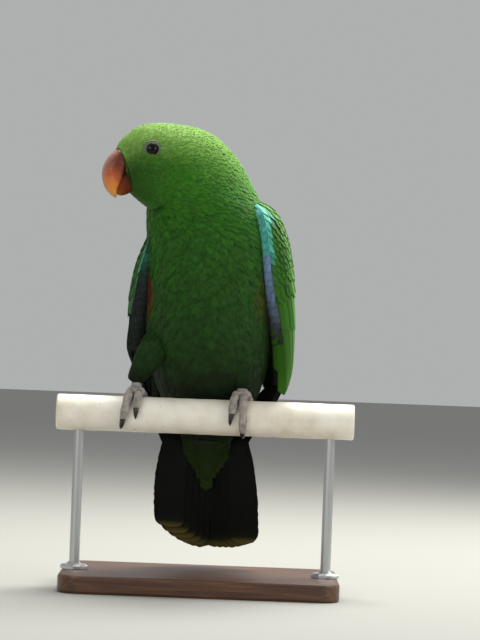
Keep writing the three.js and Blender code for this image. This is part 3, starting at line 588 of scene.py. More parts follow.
def coat(name, low, high, columns, rows, wanted, tries):
    """One coat piece: feathers rooted over a stretch of the body, lying back along it."""
    t0, a0 = scatter(
        body_point, (low, -180), (high, 180), lambda t: coat_value("spacing", t), wanted, tries,
    )
    count = len(t0)
    q, s, faces = tuft(columns, rows, 0.2)
    length = coat_value("length", t0) * RANDOM.uniform(0.85, 1.15, count)
    half = coat_value("half", t0) * RANDOM.uniform(0.88, 1.12, count)
    depth = coat_value("depth", t0)
    turn = np.radians(RANDOM.normal(0, 7, count))
    # The middle line follows the surface down the body in short steps
    levels = np.linspace(0, 1, 6)
    line_t = [t0]
    for k in range(len(levels) - 1):
        here = line_t[-1]
        per_t = np.linalg.norm(body_point(here + 0.05, a0) - body_point(here - 0.05, a0), axis=-1) / 0.1
        line_t.append(here - (levels[k + 1] - levels[k]) * length * np.cos(turn) / np.maximum(per_t, 3.5))
    line_t = np.stack(line_t, -1)
    ragged = 1 + RANDOM.uniform(-0.1, 0.06, (count, len(s))) * (s > 0.75)
    reach = s * (1 - 0.34 * np.abs(q) ** 2.2) * ragged
    index = np.clip(reach * (len(levels) - 1), 0, len(levels) - 1.001)
    whole = index.astype(int)
    part = index - whole
    each = np.arange(count)[:, None]
    t = line_t[each, whole] * (1 - part) + line_t[each, whole + 1] * part
    outline = 0.5 + 0.5 * np.sin(np.pi * np.clip(reach * 0.95 + 0.05, 0, 1) ** 0.8)
    sideways = half[:, None] * q * outline + length[:, None] * reach * np.sin(turn)[:, None]
    per_degree = np.linalg.norm(body_point(t0, a0 + 1) - body_point(t0, a0 - 1), axis=-1) / 2
    angle = a0[:, None] + sideways / np.maximum(per_degree[:, None], 0.12)
    lift = RANDOM.uniform(-0.35, 0.15, count)[:, None]
    height = -depth[:, None] * (1 - reach**0.8) - 0.35 * q**2 * half[:, None] / 3 + lift * reach
    points = body_point(np.maximum(t, 0), angle, height)
    shade = RANDOM.random(count)
    red = red_flank(t, angle) * RANDOM.uniform(0.6, 1, (count, 1))
    place = np.stack([t / FACE, wrapped_angle(angle) / 180, red], -1)
    root = np.stack([(a0 % 360) / 360, t0 / FACE], -1)
    feather_coat(name, points, place, shade, root, (q, s, faces))


def make_skin():
    """Skin over rump, torso, neck and head, inside the coat's tips by its depth, and the thighs'
    two skins."""
    t = np.concatenate([np.linspace(0, 7, 50)[:-1], np.linspace(7, FACE, 60)])
    angle = np.linspace(0, 360, 72, endpoint=False)
    points, faces = capped(body_point(t[:, None], angle[None], -coat_value("depth", t)[:, None] - GAP))
    place_t, place_a = np.repeat(t, len(angle)), np.tile(angle, len(t))
    place = np.stack([place_t / FACE, wrapped_angle(place_a) / 180, red_flank(place_t, place_a)], -1)
    patch = np.stack([np.append(place_a / 360, (0.5, 0.5)), np.append(place_t / FACE, (0, 1))], -1)
    legs = [thigh(side) for side in "lr"]
    extra = sum(len(leg_points) for leg_points, _ in legs)
    points, faces = join([(points, faces), *legs])
    # The thighs' skin takes the darkest front green: painted shade low between the legs
    place = np.concatenate([place, place[[0, -1]], np.tile([0.1, 0.8, 0.0], (extra, 1))])
    patch = np.concatenate([patch, np.tile([0.02, 0.1], (extra, 1))])
    piece(
        "skin", points, faces, SHADED_DOWN, replaces=("head", "neck", "torso", "thigh_l", "thigh_r"),
        marks={"place": place, "lie": np.zeros_like(place)}, patch=patch,
    )


def tube_rings(points, radii, sides, steps):
    """Rings of a round tube along a smooth curve through points."""
    points = np.asarray(points, float)
    t = np.linspace(0, len(points) - 1, steps + 1)
    centre = np.stack([smooth(points[:, i], t) for i in range(3)], -1)
    radius = smooth(radii, np.linspace(0, len(radii) - 1, steps + 1))
    ahead = np.gradient(centre, axis=0)
    ahead /= np.linalg.norm(ahead, axis=-1, keepdims=True)
    one = np.cross(ahead, [1.0, 0.0, 0.0])
    one /= np.linalg.norm(one, axis=-1, keepdims=True)
    other = np.cross(ahead, one)
    turn = np.linspace(0, 2 * np.pi, sides, endpoint=False)
    ring = np.cos(turn)[None, :, None] * one[:, None] + np.sin(turn)[None, :, None] * other[:, None]
    return centre[:, None] + radius[:, None, None] * ring


def thigh_rings(side, radii, steps, sides):
    """Rings up a thigh: hem below the ankle, ankle, knee and hip, which sinks into the body."""
    leg = LEGS[side]
    low, knee, hip = (
        np.array(leg[key], float) + [0, PERCH["y"], PERCH["z"]] for key in ("ankle", "knee", "hip")
    )
    hem = low + 0.2 * (low - knee)
    return tube_rings([hem, low, knee, hip], radii, sides, steps)


def thigh(side):
    """Skin of one thigh, well inside its feathers."""
    return capped(thigh_rings(side, [1.5, 3.6, 8.6, 4.0], 15, 24))


# Feathers of one thigh: how many, and one's length as a share of the thigh's
THIGH_FEATHERS = 1300
THIGH_LENGTH = 14.0 / 60


def thigh_coat(side):
    """Feathers of the thigh, pointing down and hanging over the ankle like a trouser leg."""
    rings = thigh_rings(side, [5.2, 7.6, 12.0, 8.0], 48, 40)
    rows, around = rings.shape[:2]
    root = RANDOM.uniform(0.14, 0.9, THIGH_FEATHERS)
    turn = RANDOM.uniform(0, around, THIGH_FEATHERS)
    q, s, faces = tuft(5, 4, 0.25)
    along = root[:, None] - THIGH_LENGTH * s * (1 - 0.3 * np.abs(q) ** 2)
    round_it = turn[:, None] + q * (0.5 + 0.5 * np.sin(np.pi * s**0.8)) * 2.5
    centre = rings.mean(1)
    at = np.clip(along, 0, 1) * (rows - 1)
    i = np.minimum(at.astype(int), rows - 2)
    f = (at - i)[..., None]
    j = np.floor(round_it).astype(int) % around
    g = (round_it - np.floor(round_it))[..., None]

    def on_ring(row):
        """Points round one ring of the thigh."""
        return rings[row, j] * (1 - g) + rings[row, (j + 1) % around] * g

    surface = on_ring(i) * (1 - f) + on_ring(i + 1) * f
    out = surface - (centre[i] * (1 - f) + centre[i + 1] * f)
    out /= np.linalg.norm(out, axis=-1, keepdims=True)
    ruffle = RANDOM.uniform(-0.5, 0.5, THIGH_FEATHERS)[:, None]
    height = -2.0 * (1 - s**0.8) - 0.3 * q**2 + ruffle * s
    # Painted shade near the ankle, lighter up the thigh to meet the belly's green
    painted_shade_to_green = 0.11 + 0.19 * np.clip(along, 0, 1) ** 1.5
    place = np.stack([painted_shade_to_green, np.full_like(along, 0.8), np.zeros_like(along)], -1)
    base = np.stack([0.02 + 0.2 * turn / around, 0.02 + 0.1 * root], -1)
    shade = RANDOM.random(THIGH_FEATHERS)
    points = surface + out * height[..., None]
    feather_coat("thigh_coat_" + side, points, place, shade, base, (q, s, faces))


# Stiff feathers of wings and tail

# Columns of a stiff feather from edge to edge, and the height of its shaft and barbs there
VANE_ACROSS = np.array([-1, -0.72, -0.4, -0.08, 0, 0.08, 0.4, 0.72, 1])
VANE_RIDGE = np.array([0, 0.1, 0.16, 0.18, 0.5, 0.18, 0.16, 0.1, 0])
# Share of a feather's length that its rounded end takes up
VANE_END = {"round": 0.16, "long": 0.09, "broad": 0.12}


def vane(
    surface, root, tip, half, lift, roll=0.5, rows=12, shape="round", bow=0.0, cup=0.5, thick=0.3, base=0.62
):
    """One stiff feather with its shaft. root and tip are (along, across) on the surface in
    millimetres, half is its half width, lift its height at root and tip, roll its tilt, bow and
    cup its curve along and across, base the root's share of the width. Returns points, faces,
    lie, and which faces are underneath."""
    s = np.linspace(0, 1, rows) ** 0.85
    end = VANE_END[shape]
    outline = np.where(s < 1 - end, base + (1 - base) * np.sin(np.pi / 2 * np.clip(s / 0.45, 0, 1)), 0)
    close = np.clip((s - (1 - end)) / end, 0, 1)
    outline = np.where(s >= 1 - end, np.sqrt(np.clip(1 - close**2, 0, 1)) * 0.97 + 0.03, outline)
    fray = 1 - 0.05 * RANDOM.random((rows, 1)) * (np.abs(VANE_ACROSS)[None] > 0.9)
    q = VANE_ACROSS[None] * outline[:, None] * fray
    root, tip = np.array(root, float), np.array(tip, float)
    line = root + (tip - root) * s[:, None]
    direction = (tip - root) / np.linalg.norm(tip - root)
    normal = np.array([-direction[1], direction[0]]) * (np.sign(direction[0]) or 1.0)
    bowed = (bow * np.sin(np.pi * s))[:, None, None] * normal
    place = line[:, None, :] + (half * q)[..., None] * normal + bowed
    height = lift[0] + (lift[1] - lift[0]) * s[:, None] ** 0.8 - roll * q - cup * q**2
    top = surface(place[..., 0], place[..., 1], height + thick * VANE_RIDGE[None] * (1.2 - s[:, None]))
    sunk = height - thick * 0.5 * VANE_RIDGE[None] - 0.12 * (1 - VANE_RIDGE[None])
    under = surface(place[..., 0], place[..., 1], sunk)
    columns = len(VANE_ACROSS)
    upper, faces = loft(top, closed=False)
    lower, _ = loft(under, closed=False)
    count = rows * columns
    rim = [(0, 1), (count - columns, 1), (0, columns), (columns - 1, columns)]
    sides = []
    for start, step in rim:
        number = columns if step == 1 else rows
        line_up = start + step * np.arange(number)
        sides.append(np.stack([line_up[:-1], line_up[1:], line_up[1:] + count, line_up[:-1] + count], -1))
    lie = np.stack(np.broadcast_arrays(VANE_ACROSS[None], s[:, None], RANDOM.random()), -1).reshape(-1, 3)
    all_faces = np.concatenate([faces, faces[:, ::-1] + count, *sides])
    beneath = (np.arange(len(all_faces)) >= len(faces)).astype(int)
    return np.concatenate([upper, lower]), all_faces, np.concatenate([lie, lie]), beneath


def bundle(name, feathers, finish):
    """Joins stiff feathers as one piece. Each is (points, faces, lie, beneath, place), and its
    patch of the unwrap is a cell of its own."""
    points, faces, lies, beneath, places = zip(*feathers)
    across = math.ceil(math.sqrt(len(feathers)))
    patches = []
    for i, lie in enumerate(lies):
        flip = np.where(np.arange(len(lie)) < len(lie) // 2, 0.0, 0.5)
        cell = np.array([i % across, i // across]) / across
        local = np.stack([(lie[:, 0] + 1) * 0.2 + flip + 0.04, lie[:, 1] * 0.9 + 0.05], -1)
        patches.append(cell + local / across)
    places = [np.broadcast_to(place, lie.shape) for place, lie in zip(places, lies)]
    points, faces = join(zip(points, faces))
    marks = {"place": np.concatenate(places), "lie": np.concatenate(lies)}
    patch = np.concatenate(patches)
    piece(
        name, points, faces, finish, marks=marks, patch=patch,
        finish_of=np.concatenate(beneath),
    )


def wing_sheet(side):
    """Wing surface in millimetres along and across, measured from its middle line."""
    def surface(z, across, height):
        return wing_point(side, z, across / wing_span(side, z) + 0.5, height)
    return surface


def row_of(side, root, length, pitch, half, lift, rows, shape="round"):
    """Row of wing feathers side by side at one height, each pointing down the wing. length is
    for the front and the back end of the row."""
    first, wide = 0.03, 0.94
    number = max(2, int(round(float(wing_span(side, root)) * wide / pitch)))
    surface = wing_sheet(side)
    made = []
    for i in range(number):
        f = first + wide * (i + RANDOM.uniform(0.35, 0.65)) / number
        long = length[0] + (length[1] - length[0]) * f
        end = root - long * RANDOM.uniform(0.93, 1.07)
        height = (lift[0], lift[1] + RANDOM.uniform(-0.25, 0.1))
        start = on_wing(side, root, f)
        feather = vane(
            surface, start, on_wing(side, end, f), half, height, roll=0.6, rows=rows, shape=shape,
        )
        place = np.array([f, (root + 60) / 230, blue_share(side, root - 0.6 * long, f)])
        made.append((*feather, place))
    return made


# Blue band along the left wing's outer edge: heights, and the places along X where it begins
BLUE_FROM = ((18, 78, 101, 162), (60, 53, 50.5, 45))


def blue_share(side, z, across):
    """How blue a covert is: 1 in the band along the left wing's outer edge."""
    if side == "r":
        return 0.55 if across < 0.1 else 0.0
    x = float(wing_point(side, np.float64(z), across, 0)[0])
    edge = np.interp(z, *BLUE_FROM)
    return float(np.clip((edge + 1.5 - x) / 3, 0, 1)) if across < 0.3 else 0.0


# Long feathers of the wing's front face: how far in from the outer edge, height of root and tip
FACE_SECONDARIES = {"l": ((4.5, 92, 30), (0.2, 92, 11)), "r": ()}
FACE_PRIMARIES = {
    "l": ((14, 84, 44), (10.5, 90, 32), (7.5, 92, 20), (4.5, 90, 13)),
    "r": ((14, 84, 44), (10.5, 90, 32), (7.5, 92, 20), (4.5, 90, 13), (0.8, 90, 11)),
}
# Heights of the primaries' tips, from the wing's back to its front edge
PRIMARY_TIPS = (-4, -14, -24, -33, -41, -48, -54, -57, -53)


def make_wing(side):
    """One folded wing: small coverts in rows, big coverts, quills, edge and core."""
    coverts = []
    for root in np.arange(168, 118, -5.5):
        coverts += row_of(side, root, (15, 15), 5.2, 4.6, (-2.0, 0.1), 7)
    for root, length in ((122, 24), (114, 27)):
        coverts += row_of(side, root, (length, length), 6.6, 6.2, (-2.0, 0.1), 9)
    coverts += row_of(side, 102, (40, 46), 8.2, 8.0, (-2.1, -0.5), 12, shape="long")
    bundle("wing_coverts_" + side, coverts, [COVERT, COVERT_UNDER])
    sheet, face = wing_sheet(side), edge_surface(side)
    tips = [9 + 7 * (i / 9) + RANDOM.uniform(-2, 2) for i in range(10)]
    made = []
    for i, end in enumerate(tips):
        across = 0.09 + 0.83 * (i / 9)
        start, lift = on_wing(side, 86, across), (-2.0 - 0.1 * (i % 2), -0.1)
        feather = vane(sheet, start, on_wing(side, end, across), 9.5, lift, rows=18, shape="long", roll=0.7)
        made.append((*feather, np.array([across, 0.4, RANDOM.random()])))
    for inward, start, tip in FACE_SECONDARIES[side]:
        ends = (start, inward), (tip, inward)
        feather = vane(face, *ends, 6.0, (-1.6, 0.5), rows=18, shape="long", roll=-0.5)
        made.append((*feather, np.array([0.1, 0.4, RANDOM.random()])))
    bundle("wing_secondaries_" + side, made, [SECONDARY, QUILL_UNDER])
    made = []
    for i, tip in enumerate(PRIMARY_TIPS):
        f = i / (len(PRIMARY_TIPS) - 1)
        ends = on_wing(side, 80, 0.4 - 0.36 * f), on_wing(side, tip, 0.55 - 0.23 * f)
        lift = (-2.5 - 0.55 * i, -0.2 - 0.7 * i)
        feather = vane(sheet, *ends, 10.5, lift, rows=24, shape="long", roll=0.15, cup=0.2)
        made.append((*feather, np.array([f, 0.2, RANDOM.random()])))
    for inward, start, tip in FACE_PRIMARIES[side]:
        ends = (start, inward), (tip, inward * 0.7)
        feather = vane(face, *ends, 4.6, (-2.2, 0.2 - 0.06 * inward), rows=18, shape="long")
        made.append((*feather, np.array([0.1 + inward / 20, 0.2, RANDOM.random()])))
    bundle("wing_primaries_" + side, made, [PRIMARY, QUILL_UNDER])
    bundle("wing_edge_" + side, edge_feathers(side), [WING_EDGE[side]] * 2)
    wing_core(side)


def edge_surface(side):
    """Front face of the wing, from its outer edge (0) in to the body (1), in millimetres."""
    def surface(z, inward, height):
        lead = wing_value("lead", z)
        share = np.clip(inward / np.maximum(lead, 1), -0.1, 1)
        outer = wing_point(side, z, 0, 0)
        inner = wing_point(side, z, 0, -lead)
        forward = wing_point(side, z, 0, -2) - wing_point(side, z, 0.06, -2)
        forward /= np.linalg.norm(forward, axis=-1, keepdims=True)
        bulge = 2.4 * np.sin(np.pi * np.clip(share, 0, 1)) + height
        return outer + (inner - outer) * share[..., None] + forward * bulge[..., None]
    return surface


def edge_feathers(side):
    """Small blue feathers of the bend and leading edge, which lie down the front face."""
    surface = edge_surface(side)
    made = []
    lowest = 60 if side == "l" else 66
    for root in np.arange(166, lowest, -6.0):
        lead = float(wing_value("lead", root))
        number = max(2, int(lead / 3.4))
        for i in range(number):
            inward = lead * (i + RANDOM.uniform(0.3, 0.7)) / number * 0.9
            ends = (root, inward), (root - RANDOM.uniform(11, 14), inward)
            feather = vane(surface, *ends, 3.4, (-1.6, 0.1), rows=7, roll=0.4, cup=0.3)
            # Inner feathers of the edge take the darker ramp: painted shade
            inner_painted_shade = np.clip(1.6 * inward / lead - 0.3, 0, 1)
            made.append((*feather, np.array([0.5, (root - 6 + 60) / 230, inner_painted_shade])))
    return made


# Heights of the core's sections, closer together where the wing turns at its bend
CORE_LEVELS = np.array([166, 162, 157, 151, 146, 136, 126, 113, 100, 87, 74, 62, 50, 39, 28, 19])


def wing_core(side):
    """Flesh and folded quills under the feathers, painted dark as shade where it shows between them."""
    levels = CORE_LEVELS[:, None]
    steps = np.linspace(0, 1, 17)
    outer = wing_point(side, levels, steps[None], -2.6)
    lead, rear = wing_value("lead", levels), wing_value("rear", levels)
    back = steps[::-1][None, 1:-1]
    inner = wing_point(side, levels, back, -(lead + (rear - lead) * back))
    points, faces = capped(np.concatenate([outer, inner], 1))
    piece("wing_core_" + side, points, faces, SHADED_CORE, replaces=("wing_" + side,))


# Root of the tail: along it, half width, depth to the back and to the front
TAIL_ROOT = (
    (GAP, 22, 11.2, 12),
    (4, 21.8, 9.6, 10),
    (8, 21.5, 8.0, 8.0),
    (18, 20.5, 4.8, 5.0),
    (30, 18, 1.8, 2.0),
)
# Depth that the coverts above (1) and below (-1) follow at places along the tail
TAIL_DEPTH_AT = (0, 4, 8, 18, 30, 60)
TAIL_DEPTHS = {1: (11.2, 9.6, 8, 4.8, 2.8, 2.4), -1: (12, 10, 8, 5, 3.4, 3)}


def tail_coverts(rise, reach, narrow):
    """Four layers of coverts that follow the root's depth: rise is 1 above and -1 below."""
    made = []
    for layer in range(4):
        number = 10 - layer
        for k in range(number):
            f = 2 * k / (number - 1) - 1
            begin = layer * 4.5 - 2
            point = 12 * f * f if rise > 0 else 24 * abs(f)
            tip = reach - point + RANDOM.uniform(-1.5, 1.5) - (3 - layer) * 5
            ends = (begin, f * 17), (tip, f * narrow)
            depths = [
                np.interp(along, TAIL_DEPTH_AT, TAIL_DEPTHS[rise]) * math.sqrt(1 - (side / 23) ** 2)
                for along, side in ends
            ]
            over = 0.3 * (3 - layer)
            lift = (rise * (depths[0] - 1.4 + over), rise * (depths[1] + 0.4 + over))
            feather = vane(tail_point, *ends, 5.4, lift, roll=0, rows=9, cup=rise * 0.5)
            made.append((*feather, np.array([0.2 + 0.1 * layer, abs(f), RANDOM.random()])))
    return made


def make_tail():
    """Root of the tail, twelve long feathers, and the coverts above and below."""
    turn = np.linspace(0, 2 * np.pi, 40, endpoint=False)
    rings = []
    for along, side, back, front in TAIL_ROOT:
        deep = np.cos(turn) * np.where(np.cos(turn) > 0, back - 1.2, front - 1.2) - 1
        rings.append(tail_point(along, (side - 1.5) * np.sin(turn), deep))
    points, faces = capped(np.array(rings))
    piece("tail_root", points, faces, SHADED_CORE, replaces=("tail",))
    feathers = []
    for i in range(6):
        for side in (1, -1):
            height = 2 - TAIL["layer"] * TAIL_LAYERS[side][i]
            ends = (1, side * (2 + 4.3 * i)), (TAIL_TIPS[side][i], side * (6 + TAIL_SPREAD[side] * i))
            points, faces, lie, beneath = vane(
                tail_point, *ends, TAIL["width"] / 2, (height, height), roll=0, rows=30, shape="broad",
                bow=0.5 * i * side, cup=0.15, thick=0.5, base=0.86,
            )
            place = np.stack([lie[:, 1], np.full(len(lie), i / 5), lie[:, 2]], -1)
            feathers.append((points, faces, lie, beneath, place))
    bundle("tail_feathers", feathers, [TAIL_UPPER, TAIL_UNDER])
    bundle("tail_coverts_upper", tail_coverts(1, 36, 16), [TAIL_COVERT, COVERT_UNDER])
    bundle("tail_coverts_under", tail_coverts(-1, 43, 7), [UNDERTAIL, UNDERTAIL])


# Head pieces

def section_rings(rows, count, around):
    """Rings of a tapering piece: forward, sideways and up in the head's frame made level."""
    t = np.linspace(0, len(rows) - 1, count)[:, None]
    forward, up, pitch, back, front, side, full = (smooth(rows[:, i], t) for i in range(7))
    turn = np.linspace(0, 2 * np.pi, around, endpoint=False)[None]
    rounded = fuller(np.cos(turn), full)
    reach = np.where(rounded > 0, back, front) * rounded
    pitch = np.radians(pitch)
    ahead = forward - np.sin(pitch) * reach
    rise = up + np.cos(pitch) * reach
    across = side * fuller(np.sin(turn), full)
    tilt = math.radians(-HEAD["pitch"])
    level = ahead * math.cos(tilt) + rise * math.sin(tilt)
    return level, across, rise * math.cos(tilt) - ahead * math.sin(tilt)


def bill_part(name, rows, node, finish, shrink=0.0):
    """One half of the bill, with faint growth rings towards its base."""
    count, around = 48, 56
    rows = rows - np.array([0, 0, 0, shrink, shrink, shrink, 0])
    forward, across, up = section_rings(rows, count, around)
    points = head_point(forward, across, up, pitch=0)
    share = np.repeat(np.linspace(0, 1, count), around)
    turn = np.tile(np.linspace(0, 1, around, endpoint=False), count)
    growth = 0.09 * np.sin(share * 74) * np.clip(1 - share * 1.2, 0, 1)
    out = points - points.mean(1, keepdims=True)
    out /= np.linalg.norm(out, axis=-1, keepdims=True)
    made, faces = capped(points + out * growth.reshape(count, around)[..., None])
    along, ridge = np.append(share, (0, 1)), np.append(np.cos(turn * 2 * np.pi), (0, 0))
    place = np.stack([along, ridge, np.zeros_like(along)], -1)
    piece(name, made, faces, finish, replaces=(node,), marks={"place": place})


def eyeball(side, out):
    """Round eye with a raised clear front, its middle looking out from the head."""
    rings, around = 40, 48
    polar = np.linspace(0.001, np.pi - 0.001, rings)[:, None]
    turn = np.linspace(0, 2 * np.pi, around, endpoint=False)[None]
    radius = EYE["radius"] + 0.35 * np.clip(1 - (polar / 0.62) ** 2, 0, 1)
    x = radius * np.sin(polar) * np.cos(turn)
    y = radius * np.sin(polar) * np.sin(turn)
    z = radius * np.cos(polar) + 0 * turn
    points = head_point(EYE["forward"] + x, out * (EYE["out"] + z), EYE["up"] + y)
    made, faces = capped(points)
    place = np.stack(
        [np.repeat(polar[:, 0], around), np.tile(turn[0], rings), np.zeros(rings * around)], -1,
    )
    place = np.concatenate([place, [[0, 0, 0], [np.pi, 0, 0]]])
    node = "eye_" + side
    piece(node + "_ball", made, faces, EYE_FINISH, replaces=(node,), marks={"place": place})


def lids(side, out):
    """Two rings of bare grey skin round the eye, the inner one raised and beaded."""
    steps, around = 96, 14
    turn = np.linspace(0, 2 * np.pi, steps, endpoint=False)
    ahead, left, back = axes(np.float64(HEAD["pitch"]), np.float64(HEAD["yaw"]))
    middle = head_point(EYE["forward"], out * (EYE["out"] + 3.0), EYE["up"])
    rings = []
    for layer, (grow, drop, thick) in enumerate(((0.0, 0.2, 1.0), (1.4, -0.4, 0.95))):
        radial = np.cos(turn)[:, None] * ahead + np.sin(turn)[:, None] * back
        bead = 1 + 0.1 * np.cos(turn * 24)[:, None] * (layer == 0)
        centre = (
            middle + (EYE["long"] - 0.9 + grow) * np.cos(turn)[:, None] * ahead
            + (EYE["high"] - 0.9 + grow) * np.sin(turn)[:, None] * back
            + out * (drop - 0.12 * EYE["long"] * np.cos(turn)[:, None]) * left
        )
        roll = np.linspace(0, 2 * np.pi, around, endpoint=False)
        ring = centre[:, None] + thick * bead[:, None] * (
            np.cos(roll)[None, :, None] * radial[:, None] + np.sin(roll)[None, :, None] * left * out
        )
        index = np.arange(steps * around).reshape(steps, around)
        right, down_row = np.roll(index, -1, 1), np.roll(index, -1, 0)
        faces = np.stack([index, right, np.roll(down_row, -1, 1), down_row], -1).reshape(-1, 4)
        rings.append((ring.reshape(-1, 3), faces))
    points, faces = join(rings)
    piece("lids_" + side, points, faces, LID_SKIN)


# Feet

def round_perch(x, angle, radius):
    """Point round the perch: 0 degrees is on top, and the angle grows towards the front."""
    angle = np.radians(angle)
    return np.stack(
        [x + 0 * angle, PERCH["y"] - radius * np.sin(angle), PERCH["z"] + radius * np.cos(angle)], -1,
    )


def wrapped_rings(foot, toe, start, end, shares, radii, orbits, sides):
    """Rings of a tube wrapped round the perch, along a toe's line from one angle to another."""
    begin, finish, toe_end, _ = toe
    angle = start + (end - start) * shares
    x = foot + begin + (finish - begin) * np.clip(angle / toe_end, 0, 1.3)
    turn = np.linspace(0, 2 * np.pi, sides, endpoint=False)[None]
    sideways, deep = radii[:, None] * np.cos(turn), radii[:, None] * np.sin(turn)
    return round_perch(x[:, None] + sideways, angle[:, None] + 0 * turn, orbits[:, None] + deep)


def make_foot(side):
    """Grey scaled foot: shank, sole pad and four toes with swollen joints and ring scutes."""
    leg = LEGS[side]
    parts = []
    orbit = PERCH["radius"] + TOE["clear"] + TOE["radius"]
    swell = np.array([1.06, 1, 0.9, 1.02, 0.86, 0.98, 0.84, 0.76])
    joints = (0, 0.16, 0.32, 0.48, 0.64, 0.8, 0.92, 1)
    shares = np.linspace(0, 1, 60)
    for toe in TOES[side].values():
        radius = TOE["radius"] * np.interp(shares, joints, swell)
        arc = abs(toe[2]) * 1.12 * math.pi / 180 * orbit
        scutes = np.abs(np.sin(np.pi * shares * arc / 1.9)) ** 0.5
        orbits = orbit - TOE["radius"] + radius
        rings = wrapped_rings(leg["foot"], toe, -0.12 * toe[2], toe[2], shares, radius, orbits, 28)
        turn = np.linspace(0, 2 * np.pi, 28, endpoint=False)
        top = np.clip(np.sin(turn), -0.35, 1)
        centre = rings.mean(1, keepdims=True)
        out = (rings - centre) / np.linalg.norm(rings - centre, axis=-1, keepdims=True)
        seams = 0.34 * (1 - scutes)[:, None] * (0.45 + 0.55 * top)[None]
        parts.append(capped(rings - out * seams[..., None]))
    sole = np.array([leg["foot"], PERCH["y"], PERCH["z"] + PERCH["radius"] + 4])
    top = np.array(leg["ankle"], float) + [0, PERCH["y"], PERCH["z"]]
    middle = (sole + top) / 2 + [0, 0.6, 0]
    shank = tube_rings([top + [0, 0, 3], middle, sole], [4.5, 4.1, 5], 32, 40)
    parts.append(capped(shank))
    polar = np.linspace(0.02, np.pi - 0.02, 24)[:, None]
    turn = np.linspace(0, 2 * np.pi, 32, endpoint=False)[None]
    east, north = 7.4 * np.sin(polar) * np.cos(turn), 6 * np.sin(polar) * np.sin(turn)
    pad = np.stack([east, north, 4.6 * np.cos(polar) + 0 * turn], -1) + sole
    below = np.hypot(pad[..., 1] - PERCH["y"], pad[..., 2] - PERCH["z"])
    push = np.maximum(PERCH["radius"] + GAP - below, 0) / below
    pad[..., 1] += (pad[..., 1] - PERCH["y"]) * push
    pad[..., 2] += (pad[..., 2] - PERCH["z"]) * push
    parts.append(capped(pad))
    points, faces = join(parts)
    piece("foot_" + side + "_skin", points, faces, FOOT_SKIN, replaces=("foot_" + side,))


def make_claw(side, name, toe):
    """Claw that goes on along its toe's line, humped and drawn out to a blunt point."""
    gap = math.degrees(GAP / PERCH["radius"]) * np.sign(toe[2])
    touch = PERCH["radius"] + TOE["clear"]
    shares = np.linspace(0, 1, 26)
    radius = np.interp(shares, (0, 0.3, 0.65, 1), (2.3, 2, 1.3, 0.3))
    orbit = smooth([touch + 2.6, touch + 3, touch + 2.5, touch + 0.6], shares * 3)
    rings = wrapped_rings(LEGS[side]["foot"], toe, toe[2] + gap * 0.3, toe[3], shares, radius, orbit, 20)
    points, faces = capped(rings)
    node = f"claw_{side}_{name}"
    piece(node + "_horn", points, faces, CLAW_HORN, replaces=(node,))


def make_perch():
    """Round pole, slightly uneven under its paint."""
    length, radius, chamfer = PERCH["length"], PERCH["radius"], PERCH["chamfer"]
    half, edge = length / 2, chamfer * 0.3
    x = np.linspace(-half + chamfer, half - chamfer, 90)
    x = np.concatenate([[-half, -half + edge], x, [half - edge, half]])
    reach = np.full(len(x), radius, float)
    reach[[0, -1]] = radius - chamfer
    reach[[1, -2]] = radius - edge
    turn = np.linspace(0, 2 * np.pi, 96, endpoint=False)[None]
    uneven = 0.08 * np.sin(x[:, None] * 0.11 + 2 * turn) + 0.06 * np.sin(x[:, None] * 0.37 + 5 * turn)
    reach = reach[:, None] + uneven - 0.14
    y, z = PERCH["y"] + reach * np.sin(turn), PERCH["z"] + reach * np.cos(turn)
    points, faces = capped(np.stack([x[:, None] + 0 * turn, y, z], -1))
    piece("perch_pole", points, faces, PERCH_PAINT, replaces=("perch",))


# Finishes

def drifting(tree, value, scale, detail, amount):
    """A value that clouds of a given scale shift up and down by an amount."""
    coords = add(tree, "ShaderNodeTexCoord").outputs["Object"]
    cloud = add(tree, "ShaderNodeTexNoise", {"Vector": coords, "Scale": scale, "Detail": detail})
    drift = add(tree, "ShaderNodeMapRange", {"Value": cloud, "To Min": -amount, "To Max": amount})
    return add(tree, "ShaderNodeMath", {0: value, 1: drift}, operation="ADD")


def upper_horn(tree):
    """Horn of the upper bill, polished by use: red-brown base, coral to orange sides, a pale
    painted highlight along the ridge and a yellow tip. The eye sees a soft shine."""
    parts = mark_parts(tree, "place")
    along = drifting(tree, parts["X"], 160.0, 3.0, 0.12)
    tone = add(
        tree, "ShaderNodeValToRGB", {"Fac": along},
        stops=[
            (0.0, "#54200e"), (0.2, "#742f18"), (0.4, "#b0522a"), (0.56, "#d47a32"), (0.8, "#d8923a"),
            (1.0, "#bc9448"),
        ],
    )
    ridge = add(
        tree, "ShaderNodeMapRange",
        {"Value": parts["Y"], "From Min": 0.55, "From Max": 1.0, "To Max": 0.6},
    )
    # Pale pink-grey mixed in along the ridge: a painted highlight
    wear_and_highlight = add(tree, "ShaderNodeMix", {0: ridge, 6: tone, 7: linear("#b48c78")}, data_type="RGBA")
    return {
        "Base Color": wear_and_highlight.outputs[2], "Roughness": 0.36, "IOR": 1.54, "Subsurface Weight": 0.12,
        "Subsurface Scale": 0.002, "Specular IOR Level": 0.35, "Coat Weight": 0.1, "Coat Roughness": 0.3,
    }


def lower_horn(tree):
    """Dark horn of the lower bill, lighter brown towards its tip, smooth with a dull polish."""
    parts = mark_parts(tree, "place")
    along = drifting(tree, parts["X"], 300.0, 2.0, 0.15)
    tone = add(
        tree, "ShaderNodeValToRGB", {"Fac": along},
        stops=[(0.0, "#3a1404"), (0.5, "#622808"), (1.0, "#984a18")],
    )
    return {"Base Color": tone, "Specular IOR Level": 0.15, "Roughness": 0.55, "IOR": 1.54}


